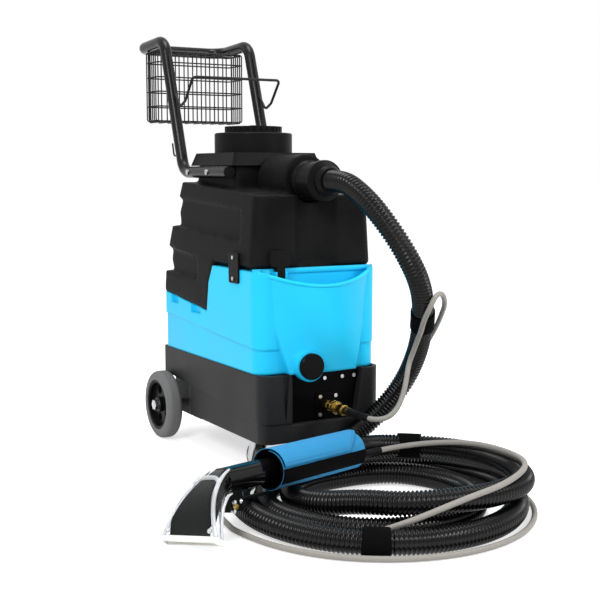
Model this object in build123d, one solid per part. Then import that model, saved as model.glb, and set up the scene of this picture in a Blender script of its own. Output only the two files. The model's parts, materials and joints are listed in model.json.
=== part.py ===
from build123d import *
import math
import os

# Heated carpet extractor with its hose, solution line and upholstery tool.
# Millimetres. +X is the machine's right seen from behind its front, +Y the rear, +Z up, the floor is Z = 0.
# Y = 0 lies midway between the hose cuff's mouth and the back of the grip.

# Clearances shared by every fit
RUNNING = 0.05
FACE_GAP = 0.3

# Base housing
BASE_REVEAL = 1.0
BASE_FRONT = -334.0
BASE_REAR = 151.0
BASE_BOTTOM = 70.0
BASE_TOP = 206.0
BASE_WALL = 5.0
BASE_CORNER = 28.0
BASE_REAR_CORNER = 8.0
CREASE_FRONT = 109.0
CREASE_REAR = 147.0
SKIRT_INSET = 2.0
WELL_FRONT = 34.0
CARRIER_INSET = 26.0
CARRIER_BOTTOM = 56.0
CARRIER_ROOF = 98.0

# Service recess in the front of the base
RECESS_LEFT = -71.0
RECESS_RIGHT_TOP = 93.0
RECESS_RIGHT_LOW = 76.0
RECESS_LOW = 105.0
RECESS_DEPTH = 18.0
PANEL_THICK = 2.0
PANEL_MARGIN = 1.5
GROOVE_LEFT = -93.0
GROOVE_RIGHT = -77.0
GROOVE_DEPTH = 4.0

# Quick coupling of the solution line
COUPLING_X = 17.0
COUPLING_Z = 135.0
PLATE_SIZE = 52.0
PLATE_THICK = 3.0
PLATE_SCREW_SPAN = 36.0
SCREW_RADIUS = 2.0
SCREW_HEAD = 4.0
SCREW_HEAD_HEIGHT = 2.5
SCREW_GRIP = 3.5
SOCKET_HEX = 11.5
SOCKET_HEX_LENGTH = 10.0
SOCKET_RADIUS = 9.5
SOCKET_LENGTH = 40.0
COLLAR_RADIUS = 13.0
COLLAR_LENGTH = 18.0
COLLAR_TRAVEL = 5.0
PLUG_RADIUS = 8.5
PLUG_LENGTH = 40.0
BOOT_RADIUS = 8.0
BOOT_TIP = 6.5
BOOT_LENGTH = 33.0

# Rear wheels and their axle
WHEEL_RADIUS = 76.0
WHEEL_WIDTH = 34.0
WHEEL_GAP = 1.5
WHEEL_Y = 114.0
TYRE_BORE = 56.0
TYRE_SHOULDER = 11.0
HUB_WIDTH = 29.0
HUB_RIM = 6.0
HUB_WEB = 8.0
HUB_BOSS = 17.0
HUB_HOLES = 5
HUB_HOLE_RADIUS = 10.0
AXLE_RADIUS = 8.0
NUT_RADIUS = 12.0
NUT_LENGTH = 9.0

# Front casters
CASTER_INSET = 38.0
CASTER_Y = -250.0
CASTER_PLATE = 54.0
CASTER_PLATE_THICK = 3.0
CASTER_WHEEL_RADIUS = 25.0
CASTER_WHEEL_WIDTH = 22.0
CASTER_TRAIL = 16.0
KINGPIN_RADIUS = 6.0
KINGPIN_HEAD = 9.0
KINGPIN_HEAD_HEIGHT = 3.5
FORK_BRIDGE = 6.0
FORK_RADIUS = 19.0
FORK_CHEEK = 3.0
CASTER_AXLE_RADIUS = 4.0
CASTER_SIDE_GAP = 1.0

# Solution tank
TANK_HALF = 139.0
TANK_FRONT = -318.0
TANK_REAR = 138.0
TANK_TOP = 407.0
TANK_WALL = 5.0
TANK_CORNER = 30.0
TANK_REAR_CORNER = 8.0
SEAM_REAR_Z = 332.0
SEAM_FRONT_Z = 309.0
SEAM_FRONT_Y = -86.0
SEAM_KNEE_Y = -96.0
SEAM_KNEE_Z = 371.0
SEAM_TOP_Y = -116.0
SCOOP_FRONT = -356.0
SCOOP_TOP = 412.0
SCOOP_DIP = 380.0
SCOOP_SHOULDER = -298.0
SCOOP_FOOT_HALF = 76.0
SCOOP_FOOT_FLARE = 5.0
SCOOP_FOOT_FRONT = -340.0
SCOOP_FLOOR = 232.0
WEIR_SETBACK = 4.0
WEIR_FOOT = 262.0
STEP_REAR_Z = 284.0
STEP_FRONT_Z = 254.0
STEP_DEPTH = 2.0
POCKET_SPANS = ((-54.0, -6.0), (62.0, 100.0))
POCKET_DROP = 16.0
POCKET_DEPTH = 8.0
DRAIN_X = -38.0
DRAIN_Z = 222.0
DRAIN_BOSS = 31.0
DRAIN_BOSS_FRONT = -349.0
DRAIN_BORE = 18.0
DRAIN_CAP = 26.0
DRAIN_CAP_THICK = 9.0
DRAIN_STUB = 14.0

# Recovery tank
RECOVERY_FRONT = -302.0
RECOVERY_REVEAL = 1.5
RECOVERY_DRAFT = 13.5
RECOVERY_SHADOW = 416.0
RECOVERY_PLINTH_INSET = 10.0
RECOVERY_CORNER = 26.0
RECOVERY_WALL = 12.0
RECOVERY_FRONT_TOP = 554.0
RECOVERY_REAR_TOP_Y = 62.0
RECOVERY_REAR_TOP = 578.0
BAND_ONE = (80.0, 544.0)
BAND_TWO = (105.0, 481.0)
BAND_TWO_LOW = (123.0, 434.0)
BAND_THREE = (134.0, 379.0)
BULGE_ONE = (83.0, 512.0)
BULGE_TWO = (116.0, 405.0)
WINDOW_DEPTH = 7.0
WINDOW_ONE_FRONT = -230.0
WINDOW_ONE_TOP = 527.0
WINDOW_ONE_LOW = 463.0
WINDOW_TWO_FRONT = -35.0
WINDOW_TWO_TOP = 419.0
WINDOW_TWO_LOW = 371.0
VALLEY_RADIUS = 66.0
VALLEY_DEPTH = 20.0
NECK_HALF = 94.3
NECK_FRONT = -137.0
NECK_REAR = 57.0
NECK_TOP = 613.0
NECK_WALL = 7.0
INLET_Z = 583.0
INLET_RADIUS = 52.0
INLET_FRONT = -266.0

# Swivel cuff on the hose inlet
CUFF_SPIGOT = 33.0
CUFF_SPIGOT_LENGTH = 30.0
CUFF_FLANGE = 40.0
CUFF_BODY = 37.0
CUFF_COLLAR = 30.0
CUFF_CLEAR = 4.0
CUFF_MOUTH = -361.0

# Hood, lid and float valve
HOOD_HALF = 105.0
HOOD_FRONT = -147.0
HOOD_REAR = 67.0
HOOD_TOP = 640.0
HOOD_FLARE = 9.0
LID_Y = -34.0
COLLAR_RING = 84.0
COLLAR_RING_TOP = 683.0
LID_BORE = 62.0
LID_SEAT = 70.0
LID_SEAT_DEPTH = 15.0
GASKET_THICK = 2.0
LID_GRIP = 62.0
LID_TOP = 697.0
LID_LUGS = 28
LID_KNOB = 8.0
STANDPIPE_RADIUS = 19.0
STANDPIPE_WALL = 2.0
STANDPIPE_TOP = 556.0
FLOAT_CAGE_RADIUS = 25.0
FLOAT_CAGE_HEIGHT = 46.0
FLOAT_RADIUS = 16.0
FLOAT_SEAT = 9.6
FLOAT_PLATE = 2.0

# Machinery in the base
MOTOR_Y = -40.0
MOTOR_RADIUS = 64.0
MOTOR_TOP = 190.0
PUMP_X = 72.0
PUMP_Y = -205.0
PUMP_LENGTH = 110.0
PUMP_RADIUS = 30.0
HEATER_X = -62.0
HEATER_Y = -215.0
HEATER_RADIUS = 34.0
HEATER_HEIGHT = 105.0

# Tie straps and front latch
STRAP_FRONT = -242.0
STRAP_REAR = -200.0
STRAP_LOW = 380.0
STRAP_HIGH = 440.0
STRAP_THICK = 4.0
STRAP_SCREW_INSET = 9.0
LATCH_INSET = 54.0
LATCH_HEAD_HALF = 22.0
LATCH_NECK_HALF = 9.0
LATCH_THICK = 12.0
LATCH_TOP = 447.0
LATCH_HEAD_LOW = 416.0
LATCH_PIN_Y = -311.0
LATCH_PIN_Z = 394.0
LATCH_PIN_RADIUS = 3.0
LATCH_LUG = 4.0

# Handle
TUBE_RADIUS = 12.7
TUBE_WALL = 2.0
HANDLE_FOOT_FRONT = -132.0
HANDLE_FOOT_REAR = 95.0
HANDLE_TOP_Y = 199.0
HANDLE_TOP_Z = 897.0
GRIP_Z = 890.0
HANDLE_BEND = 38.0
HANDLE_BOLT_YS = (47.0, -52.0)
HANDLE_BOLT_RADIUS = 3.0
HANDLE_BOLT_HEAD = 6.0
HANDLE_BOLT_HEAD_HEIGHT = 3.0
PLUG_CAP_THICK = 3.0
PLUG_INSERT = 14.0

# Wire basket, hose rack and cord hooks
BASKET_OVERHANG = 6.0
BASKET_FRONT = 231.0
BASKET_DEPTH = 77.0
BASKET_LOW = 714.0
BASKET_WIRE = 3.0
BASKET_ROWS = 5
BASKET_COLUMNS = 9
BASKET_DEPTH_COLUMNS = 5
RACK_WIRE = 3.0
RACK_HIGH = 860.0
RACK_LEAVE = 768.0
RACK_LOW_Z = 744.0
RACK_LOW_Y = 112.0
RACK_HOOK_Y = 84.0
RACK_BAR_Y = 43.0
RACK_BAR_Z = 805.0
HOOK_WIRE = 2.0
HOOK_Z = 636.0
HOOK_REACH = 30.0
HOOK_RISE = 28.0

# Rear switch panel
SWITCH_PANEL_HALF = 66.0
SWITCH_PANEL_LOW = 155.0
SWITCH_PANEL_HIGH = 199.0
SWITCH_PANEL_PROUD = 5.0
SWITCH_PITCH = 34.0
SWITCH_SHIFT = 16.0
ROCKER_HALF_WIDTH = 9.0
ROCKER_HALF_HEIGHT = 13.0
ROCKER_PIN = 2.0
ROCKER_TILT = 8.0
ROCKER_PLAY = 2.0
GLAND_X = -48.0
GLAND_RADIUS = 10.0
GLAND_BORE = 5.0
GLAND_LENGTH = 22.0

# Vacuum hose: bore, ribs and route
HOSE_RADIUS = 21.0
HOSE_VALLEY = 19.2
HOSE_BORE = 17.0
DROP_RIBS = 60
COIL_RIBS = 140
DROP_POINTS = [
    (0, -405, 583),
    (4, -448, 566),
    (18, -494, 530),
    (51, -533, 461),
    (94, -530, 392),
    (132, -486, 328),
    (164, -427, 250),
    (154, -387, 176),
    (103, -369, 118),
    (44, -361, 92),
    (-30, -357, 78),
    (-95, -358, 72),
    (-142, -364, 67),
]
COIL_X = -38.0
COIL_Y = -595.0
COIL_START = 135.0
# Radius and height of the loose floor turns, one pair at each eighth of a turn
COIL_EIGHTHS = [
    (252, 58), (253, 28), (252, 22.5), (246, 22.5), (240, 22.5), (249, 22.5), (255, 22.5), (241, 22.5),
    (222, 22.5), (206, 22.5), (192, 22.5), (179, 22.5), (170, 22.5), (168, 22.5), (168, 22.5), (164, 22.5),
    (160, 22.5), (154, 37), (160, 61), (206, 69), (254, 70), (227, 72), (182, 74),
]

# Solution line: route beside the hose
LINE_RADIUS = 5.0
LINE_POINTS = [
    (17, -460, 135),
    (25, -482, 134),
    (46, -493, 137),
    (71, -488, 150),
    (92, -477, 173),
    (107, -467, 202),
    (124, -450, 230),
    (127, -463, 258),
    (123, -481, 282),
    (118, -498, 299),
    (115, -516, 317),
    (119, -532, 337),
    (136, -532, 360),
    (155, -517, 369),
    (170, -493, 359),
    (172, -472, 336),
    (173, -449, 312),
    (181, -425, 281),
    (188, -402, 241),
    (172, -352, 178),
    (148, -344, 147),
    (116, -343.5, 118),
    (82, -343.5, 88),
    (48, -343, 63),
    (-10, -340, 55),
    (-75, -341, 52),
    (-135, -344, 47),
    (-192, -356, 44),
    (-246, -392, 38),
    (-290, -450, 26),
    (-318, -518, 14),
]
LINE_START = 180.0
# Radius and height of the line's floor turns, one pair at each eighth of a turn
LINE_EIGHTHS = [
    (284, 6.5), (283, 6.5), (276.5, 6.5), (270, 6.5), (282, 6.5), (288, 6.5), (282, 6.5), (256, 6.5),
    (231, 6.5), (219, 16), (240, 82), (258, 102), (200, 98), (144, 79),
]

# Upholstery tool: where its tail lies and how it is turned, then its own sizes
TOOL_TAIL = (-29.0, -468.3, 79.5)
TOOL_HEADING = 202.0
TOOL_RISE = 2.6
TOOL_ROLL = 10.0
TOOL_TUBE = 22.0
TOOL_TUBE_WALL = 3.0
TOOL_TUBE_LENGTH = 350.0
WRAP_LENGTH = 240.0
WRAP_INNER = 31.0
WRAP_THICK = 3.5
HEAD_TOP_LENGTH = 372.0
HEAD_LIP_LENGTH = 430.6
HEAD_LIP_DROP = 75.8
HEAD_LIP_WIDTH = 122.0
HEAD_LIP_THICK = 18.0
HEAD_WALL = 3.0
LIP_HEIGHT = 9.0
LIP_MARGIN = 2.0
VALVE_LENGTH = 28.0
VALVE_REAR = 318.0
VALVE_HALF = 14.0
VALVE_LOW = -52.0
TRIGGER_PIVOT = 324.0
TRIGGER_DROP = -37.0
TRIGGER_TAIL = 246.0
TRIGGER_HALF = 6.0
TRIGGER_THICK = 5.0
TRIGGER_PIN = 2.5
VALVE_SLOT_GAP = 0.5
INSERT_THICK = 3.0
INSERT_TOP = 40.0
INSERT_FOOT = 86.0
INSERT_SETBACK = 2.0

# Hook-and-loop hose wraps
HOSE_WRAP_WIDTH = 30.0
HOSE_WRAP_THICK = 1.6
HOSE_WRAP_SLACK = 1.2

# Places that follow from the sizes above
BASE_HALF = TANK_HALF - BASE_REVEAL
CARRIER_HALF = BASE_HALF - CARRIER_INSET
RECOVERY_HALF = TANK_HALF - RECOVERY_REVEAL
RECOVERY_TOP_HALF = RECOVERY_HALF - RECOVERY_DRAFT
LATCH_X = LATCH_INSET - TANK_HALF
CASTER_X = BASE_HALF - CASTER_INSET
WHEEL_Z = WHEEL_RADIUS
WHEEL_CENTRE_X = BASE_HALF + WHEEL_GAP + WHEEL_WIDTH / 2
RECESS_FLOOR = BASE_FRONT + RECESS_DEPTH
PLATE_FACE = RECESS_FLOOR - PANEL_THICK - PLATE_THICK
SOCKET_END = PLATE_FACE - SOCKET_LENGTH
PLUG_END = SOCKET_END - PLUG_LENGTH
BOOT_END = PLUG_END - BOOT_LENGTH
HUB_FACE = WHEEL_CENTRE_X + HUB_WIDTH / 2
HANDLE_X = NECK_HALF + TUBE_RADIUS
HANDLE_FOOT_Z = NECK_TOP - TUBE_RADIUS - 1
GRIP_Y = -CUFF_MOUTH - TUBE_RADIUS
BASKET_HALF = HANDLE_X + BASKET_OVERHANG
BASKET_REAR = BASKET_FRONT + BASKET_DEPTH
SIDE_TUBE_FALL = (HANDLE_TOP_Z - GRIP_Z) / (GRIP_Y - HANDLE_TOP_Y)
BASKET_TOP = HANDLE_TOP_Z - SIDE_TUBE_FALL * (BASKET_REAR - HANDLE_TOP_Y) - TUBE_RADIUS - FACE_GAP
LID_SEAT_Z = COLLAR_RING_TOP - LID_SEAT_DEPTH
CRADLE_Z = BASE_BOTTOM + BASE_WALL


def block(x0, x1, y0, y1, z0, z1):
    return Pos((x0 + x1) / 2, (y0 + y1) / 2, (z0 + z1) / 2) * Box(x1 - x0, y1 - y0, z1 - z0)


def plan_block(half, front, rear, low, high, corner, rear_corner=None):
    face = RectangleRounded(2 * half, rear - front, corner)
    if rear_corner:
        back = (rear - front) / 2
        face += Pos(0, back / 2) * RectangleRounded(2 * half, back, rear_corner)
    return Pos(0, (front + rear) / 2, low) * extrude(face, high - low)


def side_prism(points, left, right):
    outline = Polyline(*[(left, y, z) for y, z in points], close=True)
    return extrude(make_face(outline), right - left, dir=(1, 0, 0))


def front_prism(points, front, rear):
    outline = Polyline(*[(x, front, z) for x, z in points], close=True)
    return extrude(make_face(outline), rear - front, dir=(0, 1, 0))


def rod(start, end, radius):
    axis = Vector(*end) - Vector(*start)
    upright = (Align.CENTER, Align.CENTER, Align.MIN)
    return Plane(Vector(*start), z_dir=axis) * Cylinder(radius, axis.length, align=upright)


def turned(profile, axis):
    outline = make_face(Polyline(*profile, close=True))
    return revolve(outline, axis)


def screw(seat, out, grip, radius=SCREW_RADIUS, head=SCREW_HEAD, height=SCREW_HEAD_HEIGHT):
    # A round-headed screw whose head sits at seat and points along out
    direction = Vector(*out)
    base = Vector(*seat)
    shank = rod(tuple(base - direction * grip), tuple(base), radius)
    return shank + rod(tuple(base), tuple(base + direction * height), head)


def crease_z(y):
    share = (y - BASE_FRONT) / (BASE_REAR - BASE_FRONT)
    return CREASE_FRONT + (CREASE_REAR - CREASE_FRONT) * share


def recess_outline(margin, top):
    return [
        (RECESS_LEFT + margin, RECESS_LOW + margin),
        (RECESS_RIGHT_LOW - margin, RECESS_LOW + margin),
        (RECESS_RIGHT_TOP - margin, top),
        (RECESS_LEFT + margin, top),
    ]


def base_housing():
    over = 1.0
    above = side_prism(
        [(BASE_FRONT - over, crease_z(BASE_FRONT - over)), (BASE_REAR + over, crease_z(BASE_REAR + over)),
         (BASE_REAR + over, BASE_TOP + over), (BASE_FRONT - over, BASE_TOP + over)],
        -BASE_HALF - over, BASE_HALF + over)
    band = plan_block(BASE_HALF, BASE_FRONT, BASE_REAR, BASE_BOTTOM, BASE_TOP, BASE_CORNER,
                      BASE_REAR_CORNER) & above
    skirt = plan_block(BASE_HALF - SKIRT_INSET, BASE_FRONT + SKIRT_INSET, WELL_FRONT,
                       BASE_BOTTOM, CREASE_REAR, BASE_CORNER - SKIRT_INSET) - above
    carrier = block(-CARRIER_HALF, CARRIER_HALF, WELL_FRONT - BASE_CORNER, BASE_REAR - BASE_WALL,
                    CARRIER_BOTTOM, CREASE_REAR + BASE_WALL)
    inner_half = BASE_HALF - SKIRT_INSET - BASE_WALL
    inner_front = BASE_FRONT + SKIRT_INSET + BASE_WALL
    inner_corner = BASE_CORNER - SKIRT_INSET - BASE_WALL
    well_roof = CREASE_REAR + BASE_WALL
    room = plan_block(inner_half, inner_front, WELL_FRONT - BASE_WALL, CRADLE_Z, BASE_TOP + over, inner_corner)
    room += plan_block(inner_half, WELL_FRONT - 2 * BASE_CORNER, BASE_REAR - BASE_WALL, well_roof,
                       BASE_TOP + over, inner_corner)
    room += block(-CARRIER_HALF + BASE_WALL, CARRIER_HALF - BASE_WALL, WELL_FRONT - BASE_WALL - over,
                  BASE_REAR - 2 * BASE_WALL, CARRIER_ROOF, BASE_TOP)
    room -= block(RECESS_LEFT - BASE_WALL, RECESS_RIGHT_TOP + BASE_WALL, BASE_FRONT,
                  RECESS_FLOOR + BASE_WALL, RECESS_LOW - BASE_WALL, BASE_TOP + over)
    shell = band + skirt + carrier - room
    shell -= front_prism(recess_outline(0, BASE_TOP + over), BASE_FRONT - over, RECESS_FLOOR)
    shell -= front_prism([(GROOVE_LEFT, BASE_TOP + over), (GROOVE_RIGHT, BASE_TOP + over),
                          ((GROOVE_LEFT + GROOVE_RIGHT) / 2, RECESS_LOW)],
                         BASE_FRONT - over, BASE_FRONT + SKIRT_INSET + GROOVE_DEPTH)
    shell -= rod((-BASE_HALF, WHEEL_Y, WHEEL_Z), (BASE_HALF, WHEEL_Y, WHEEL_Z), AXLE_RADIUS + RUNNING)
    shell -= block(-SWITCH_PANEL_HALF, SWITCH_PANEL_HALF, BASE_REAR - 2 * BASE_WALL, BASE_REAR + over,
                   SWITCH_PANEL_LOW, SWITCH_PANEL_HIGH)
    return shell


def front_panel():
    plate = front_prism(recess_outline(PANEL_MARGIN, BASE_TOP - PANEL_MARGIN),
                        RECESS_FLOOR - PANEL_THICK, RECESS_FLOOR)
    return plate


def panel_screws():
    heads = []
    half = PLATE_SCREW_SPAN / 2
    for dx in (-half, half):
        for dz in (-half, half):
            heads.append(screw((COUPLING_X + dx, PLATE_FACE, COUPLING_Z + dz), (0, -1, 0), PLATE_THICK))
    panel_face = RECESS_FLOOR - PANEL_THICK
    top_row = BASE_TOP - 4 * SCREW_HEAD
    for share in (0.25, 0.5, 0.75, 0.92):
        x = RECESS_LEFT + share * (RECESS_RIGHT_TOP - RECESS_LEFT)
        heads.append(screw((x, panel_face, top_row), (0, -1, 0), PANEL_THICK))
    return heads


def drill_screws(part, screws):
    for piece in screws:
        part -= piece
    return part


def quick_connect_plate():
    half = PLATE_SIZE / 2
    plate = block(COUPLING_X - half, COUPLING_X + half, PLATE_FACE, PLATE_FACE + PLATE_THICK,
                  COUPLING_Z - half, COUPLING_Z + half)
    return fillet(plate.edges().filter_by(Axis.Y), SCREW_HEAD)


def coupling_rod(front, rear, radius):
    return rod((COUPLING_X, rear, COUPLING_Z), (COUPLING_X, front, COUPLING_Z), radius)


def hex_rod(front, rear, radius):
    plane = Plane((COUPLING_X, rear, COUPLING_Z), x_dir=(1, 0, 0), z_dir=(0, -1, 0))
    return plane * extrude(RegularPolygon(radius, 6), rear - front)


def quick_connect_socket():
    body = hex_rod(PLATE_FACE - SOCKET_HEX_LENGTH, PLATE_FACE, SOCKET_HEX)
    return body + coupling_rod(SOCKET_END, PLATE_FACE, SOCKET_RADIUS)


def quick_connect_collar():
    rear = SOCKET_END + COLLAR_LENGTH + SCREW_HEAD
    front = SOCKET_END + SCREW_HEAD
    collar = coupling_rod(front, rear, COLLAR_RADIUS)
    collar -= coupling_rod(front + COLLAR_LENGTH / 3, front + COLLAR_LENGTH / 2, COLLAR_RADIUS + 1) \
        - coupling_rod(front, rear, COLLAR_RADIUS - 1)
    return collar - coupling_rod(front, rear, SOCKET_RADIUS + RUNNING)


def quick_connect_plug():
    nose = coupling_rod(PLUG_END, SOCKET_END, PLUG_RADIUS)
    nut = hex_rod(SOCKET_END - PLUG_LENGTH * 0.6, SOCKET_END - PLUG_LENGTH * 0.25, SOCKET_HEX)
    return nose + nut


def line_boot():
    base = Plane((COUPLING_X, PLUG_END, COUPLING_Z), x_dir=(1, 0, 0), z_dir=(0, -1, 0))
    return base * Cone(BOOT_RADIUS, BOOT_TIP, BOOT_LENGTH, align=(Align.CENTER, Align.CENTER, Align.MIN))


def wheel_axle():
    reach = HUB_FACE + NUT_LENGTH / 2
    return rod((-reach, WHEEL_Y, WHEEL_Z), (reach, WHEEL_Y, WHEEL_Z), AXLE_RADIUS)


def wheel_rod(side, inner, outer, radius):
    return rod((side * inner, WHEEL_Y, WHEEL_Z), (side * outer, WHEEL_Y, WHEEL_Z), radius)


def wheel_tyre(side):
    inner = WHEEL_CENTRE_X - WHEEL_WIDTH / 2
    outer = WHEEL_CENTRE_X + WHEEL_WIDTH / 2
    tyre = wheel_rod(side, inner, outer, WHEEL_RADIUS)
    tyre = fillet(tyre.edges().filter_by(GeomType.CIRCLE), TYRE_SHOULDER)
    return tyre - wheel_rod(side, inner, outer, TYRE_BORE)


def wheel_hub(side):
    inner = WHEEL_CENTRE_X - HUB_WIDTH / 2
    hub = wheel_rod(side, inner, HUB_FACE, TYRE_BORE)
    web_inner = WHEEL_CENTRE_X - HUB_WEB / 2
    web_outer = WHEEL_CENTRE_X + HUB_WEB / 2
    for low, high in ((inner, web_inner), (web_outer, HUB_FACE)):
        hub -= wheel_rod(side, low, high, TYRE_BORE - HUB_RIM) - wheel_rod(side, low, high, HUB_BOSS)
    hole_circle = (TYRE_BORE - HUB_RIM + HUB_BOSS) / 2
    for index in range(HUB_HOLES):
        angle = 2 * math.pi * index / HUB_HOLES
        y = WHEEL_Y + hole_circle * math.cos(angle)
        z = WHEEL_Z + hole_circle * math.sin(angle)
        hub -= rod((side * web_inner, y, z), (side * web_outer, y, z), HUB_HOLE_RADIUS)
    return hub - wheel_rod(side, inner, HUB_FACE, AXLE_RADIUS + RUNNING)


def axle_nuts():
    nuts = []
    for side in (-1, 1):
        face = HUB_FACE + FACE_GAP
        plane = Plane((side * face, WHEEL_Y, WHEEL_Z), x_dir=(0, 1, 0), z_dir=(side, 0, 0))
        nut = plane * extrude(RegularPolygon(NUT_RADIUS, 6), NUT_LENGTH)
        nuts.append(nut - wheel_rod(side, face, HUB_FACE + NUT_LENGTH / 2, AXLE_RADIUS))
    return nuts


def caster_pivot(side):
    return side * CASTER_X, CASTER_Y


def caster_plates():
    plates = []
    for side in (-1, 1):
        x, y = caster_pivot(side)
        half = CASTER_PLATE / 2
        low = BASE_BOTTOM - CASTER_PLATE_THICK
        plate = block(x - half, x + half, y - half, y + half, low, BASE_BOTTOM)
        pin_end = low - FACE_GAP - FORK_BRIDGE - FACE_GAP
        plate += rod((x, y, low), (x, y, pin_end), KINGPIN_RADIUS)
        plate += rod((x, y, pin_end), (x, y, pin_end - KINGPIN_HEAD_HEIGHT), KINGPIN_HEAD)
        plates.append(plate)
    return plates


def caster_fork(side):
    x, y = caster_pivot(side)
    top = BASE_BOTTOM - CASTER_PLATE_THICK - FACE_GAP
    low = top - FORK_BRIDGE
    cheek_in = CASTER_WHEEL_WIDTH / 2 + CASTER_SIDE_GAP
    cheek_out = cheek_in + FORK_CHEEK
    axle_y = y + CASTER_TRAIL
    axle_z = CASTER_WHEEL_RADIUS
    fork = rod((x, y, low), (x, y, top), FORK_RADIUS) - rod((x, y, low), (x, y, top), KINGPIN_RADIUS + RUNNING)
    foot = 2.5 * CASTER_AXLE_RADIUS
    outline = [(y - foot, top), (y + foot, top), (axle_y + foot, axle_z), (axle_y + foot / 2, axle_z - foot),
               (axle_y - foot / 2, axle_z - foot), (axle_y - foot, axle_z)]
    for out in (-1, 1):
        left, right = sorted((x + out * cheek_in, x + out * cheek_out))
        fork += side_prism(outline, left, right)
    return fork - rod((x - cheek_out, axle_y, axle_z), (x + cheek_out, axle_y, axle_z), CASTER_AXLE_RADIUS)


def caster_wheel(side):
    x, y = caster_pivot(side)
    half = CASTER_WHEEL_WIDTH / 2
    y += CASTER_TRAIL
    wheel = rod((x - half, y, CASTER_WHEEL_RADIUS), (x + half, y, CASTER_WHEEL_RADIUS), CASTER_WHEEL_RADIUS)
    wheel = fillet(wheel.edges().filter_by(GeomType.CIRCLE), CASTER_WHEEL_WIDTH / 5)
    return wheel - rod((x - half, y, CASTER_WHEEL_RADIUS), (x + half, y, CASTER_WHEEL_RADIUS),
                       CASTER_AXLE_RADIUS + RUNNING)


def caster_axle(side):
    x, y = caster_pivot(side)
    reach = CASTER_WHEEL_WIDTH / 2 + CASTER_SIDE_GAP + FORK_CHEEK
    y += CASTER_TRAIL
    return rod((x - reach, y, CASTER_WHEEL_RADIUS), (x + reach, y, CASTER_WHEEL_RADIUS), CASTER_AXLE_RADIUS)


def seam_z(y):
    # Height of the sloping seam between the two tanks behind the knee
    slope = (SEAM_REAR_Z - SEAM_FRONT_Z) / (TANK_REAR - SEAM_FRONT_Y)
    return SEAM_FRONT_Z + slope * (y - SEAM_FRONT_Y)


def scoop_solid(inset, low, rear):
    # Pitcher front: a narrow foot that widens to a bowed lip across the full width
    def section(z, half_rear, half_front, shoulder, front):
        corner = (half_front - inset, min(shoulder + inset, rear - inset / 2))
        return make_face([
            Line((half_rear - inset, rear, z), (-half_rear + inset, rear, z)),
            Line((-half_rear + inset, rear, z), (-corner[0], corner[1], z)),
            ThreePointArc((-corner[0], corner[1], z), (0, front + inset, z), (corner[0], corner[1], z)),
            Line((corner[0], corner[1], z), (half_rear - inset, rear, z)),
        ])

    foot = section(low, SCOOP_FOOT_HALF + SCOOP_FOOT_FLARE, SCOOP_FOOT_HALF, SCOOP_FOOT_FRONT + 6, SCOOP_FOOT_FRONT)
    lip = section(SCOOP_TOP + inset, TANK_HALF, TANK_HALF - 2, SCOOP_SHOULDER, SCOOP_FRONT)
    return loft([foot, lip])


def lip_cut():
    # Everything above the lip's dipped edge, in front of the recovery tank
    span = TANK_HALF
    high = SCOOP_TOP + 2 * TANK_WALL
    y = SCOOP_FRONT - TANK_WALL
    outline = make_face([
        ThreePointArc((-span, y, SCOOP_TOP), (0, y, SCOOP_DIP), (span, y, SCOOP_TOP)),
        Line((span, y, SCOOP_TOP), (span, y, high)),
        Line((span, y, high), (-span, y, high)),
        Line((-span, y, high), (-span, y, SCOOP_TOP)),
    ])
    return extrude(outline, TANK_FRONT - y, dir=(0, 1, 0))


def tongue_space(grow, left, right):
    # The step in the solution tank where the recovery tank's rear half sits down
    far = TANK_REAR + TANK_CORNER
    high = TANK_TOP + TANK_CORNER
    return side_prism([
        (SEAM_TOP_Y - grow, high),
        (SEAM_TOP_Y - grow, TANK_TOP),
        (SEAM_KNEE_Y - grow, SEAM_KNEE_Z),
        (SEAM_FRONT_Y - grow, SEAM_FRONT_Z - grow),
        (far, seam_z(far) - grow),
        (far, high),
    ], left, right)


def finger_pocket(side, span, outer, inner, margin):
    # A recess in the tank's side under the edge of the recovery tank
    start, end = span
    top = seam_z((start + end) / 2)
    left, right = sorted((side * outer, side * inner))
    return block(left, right, start - margin, end + margin, top - POCKET_DROP - margin, top + TANK_WALL)


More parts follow.
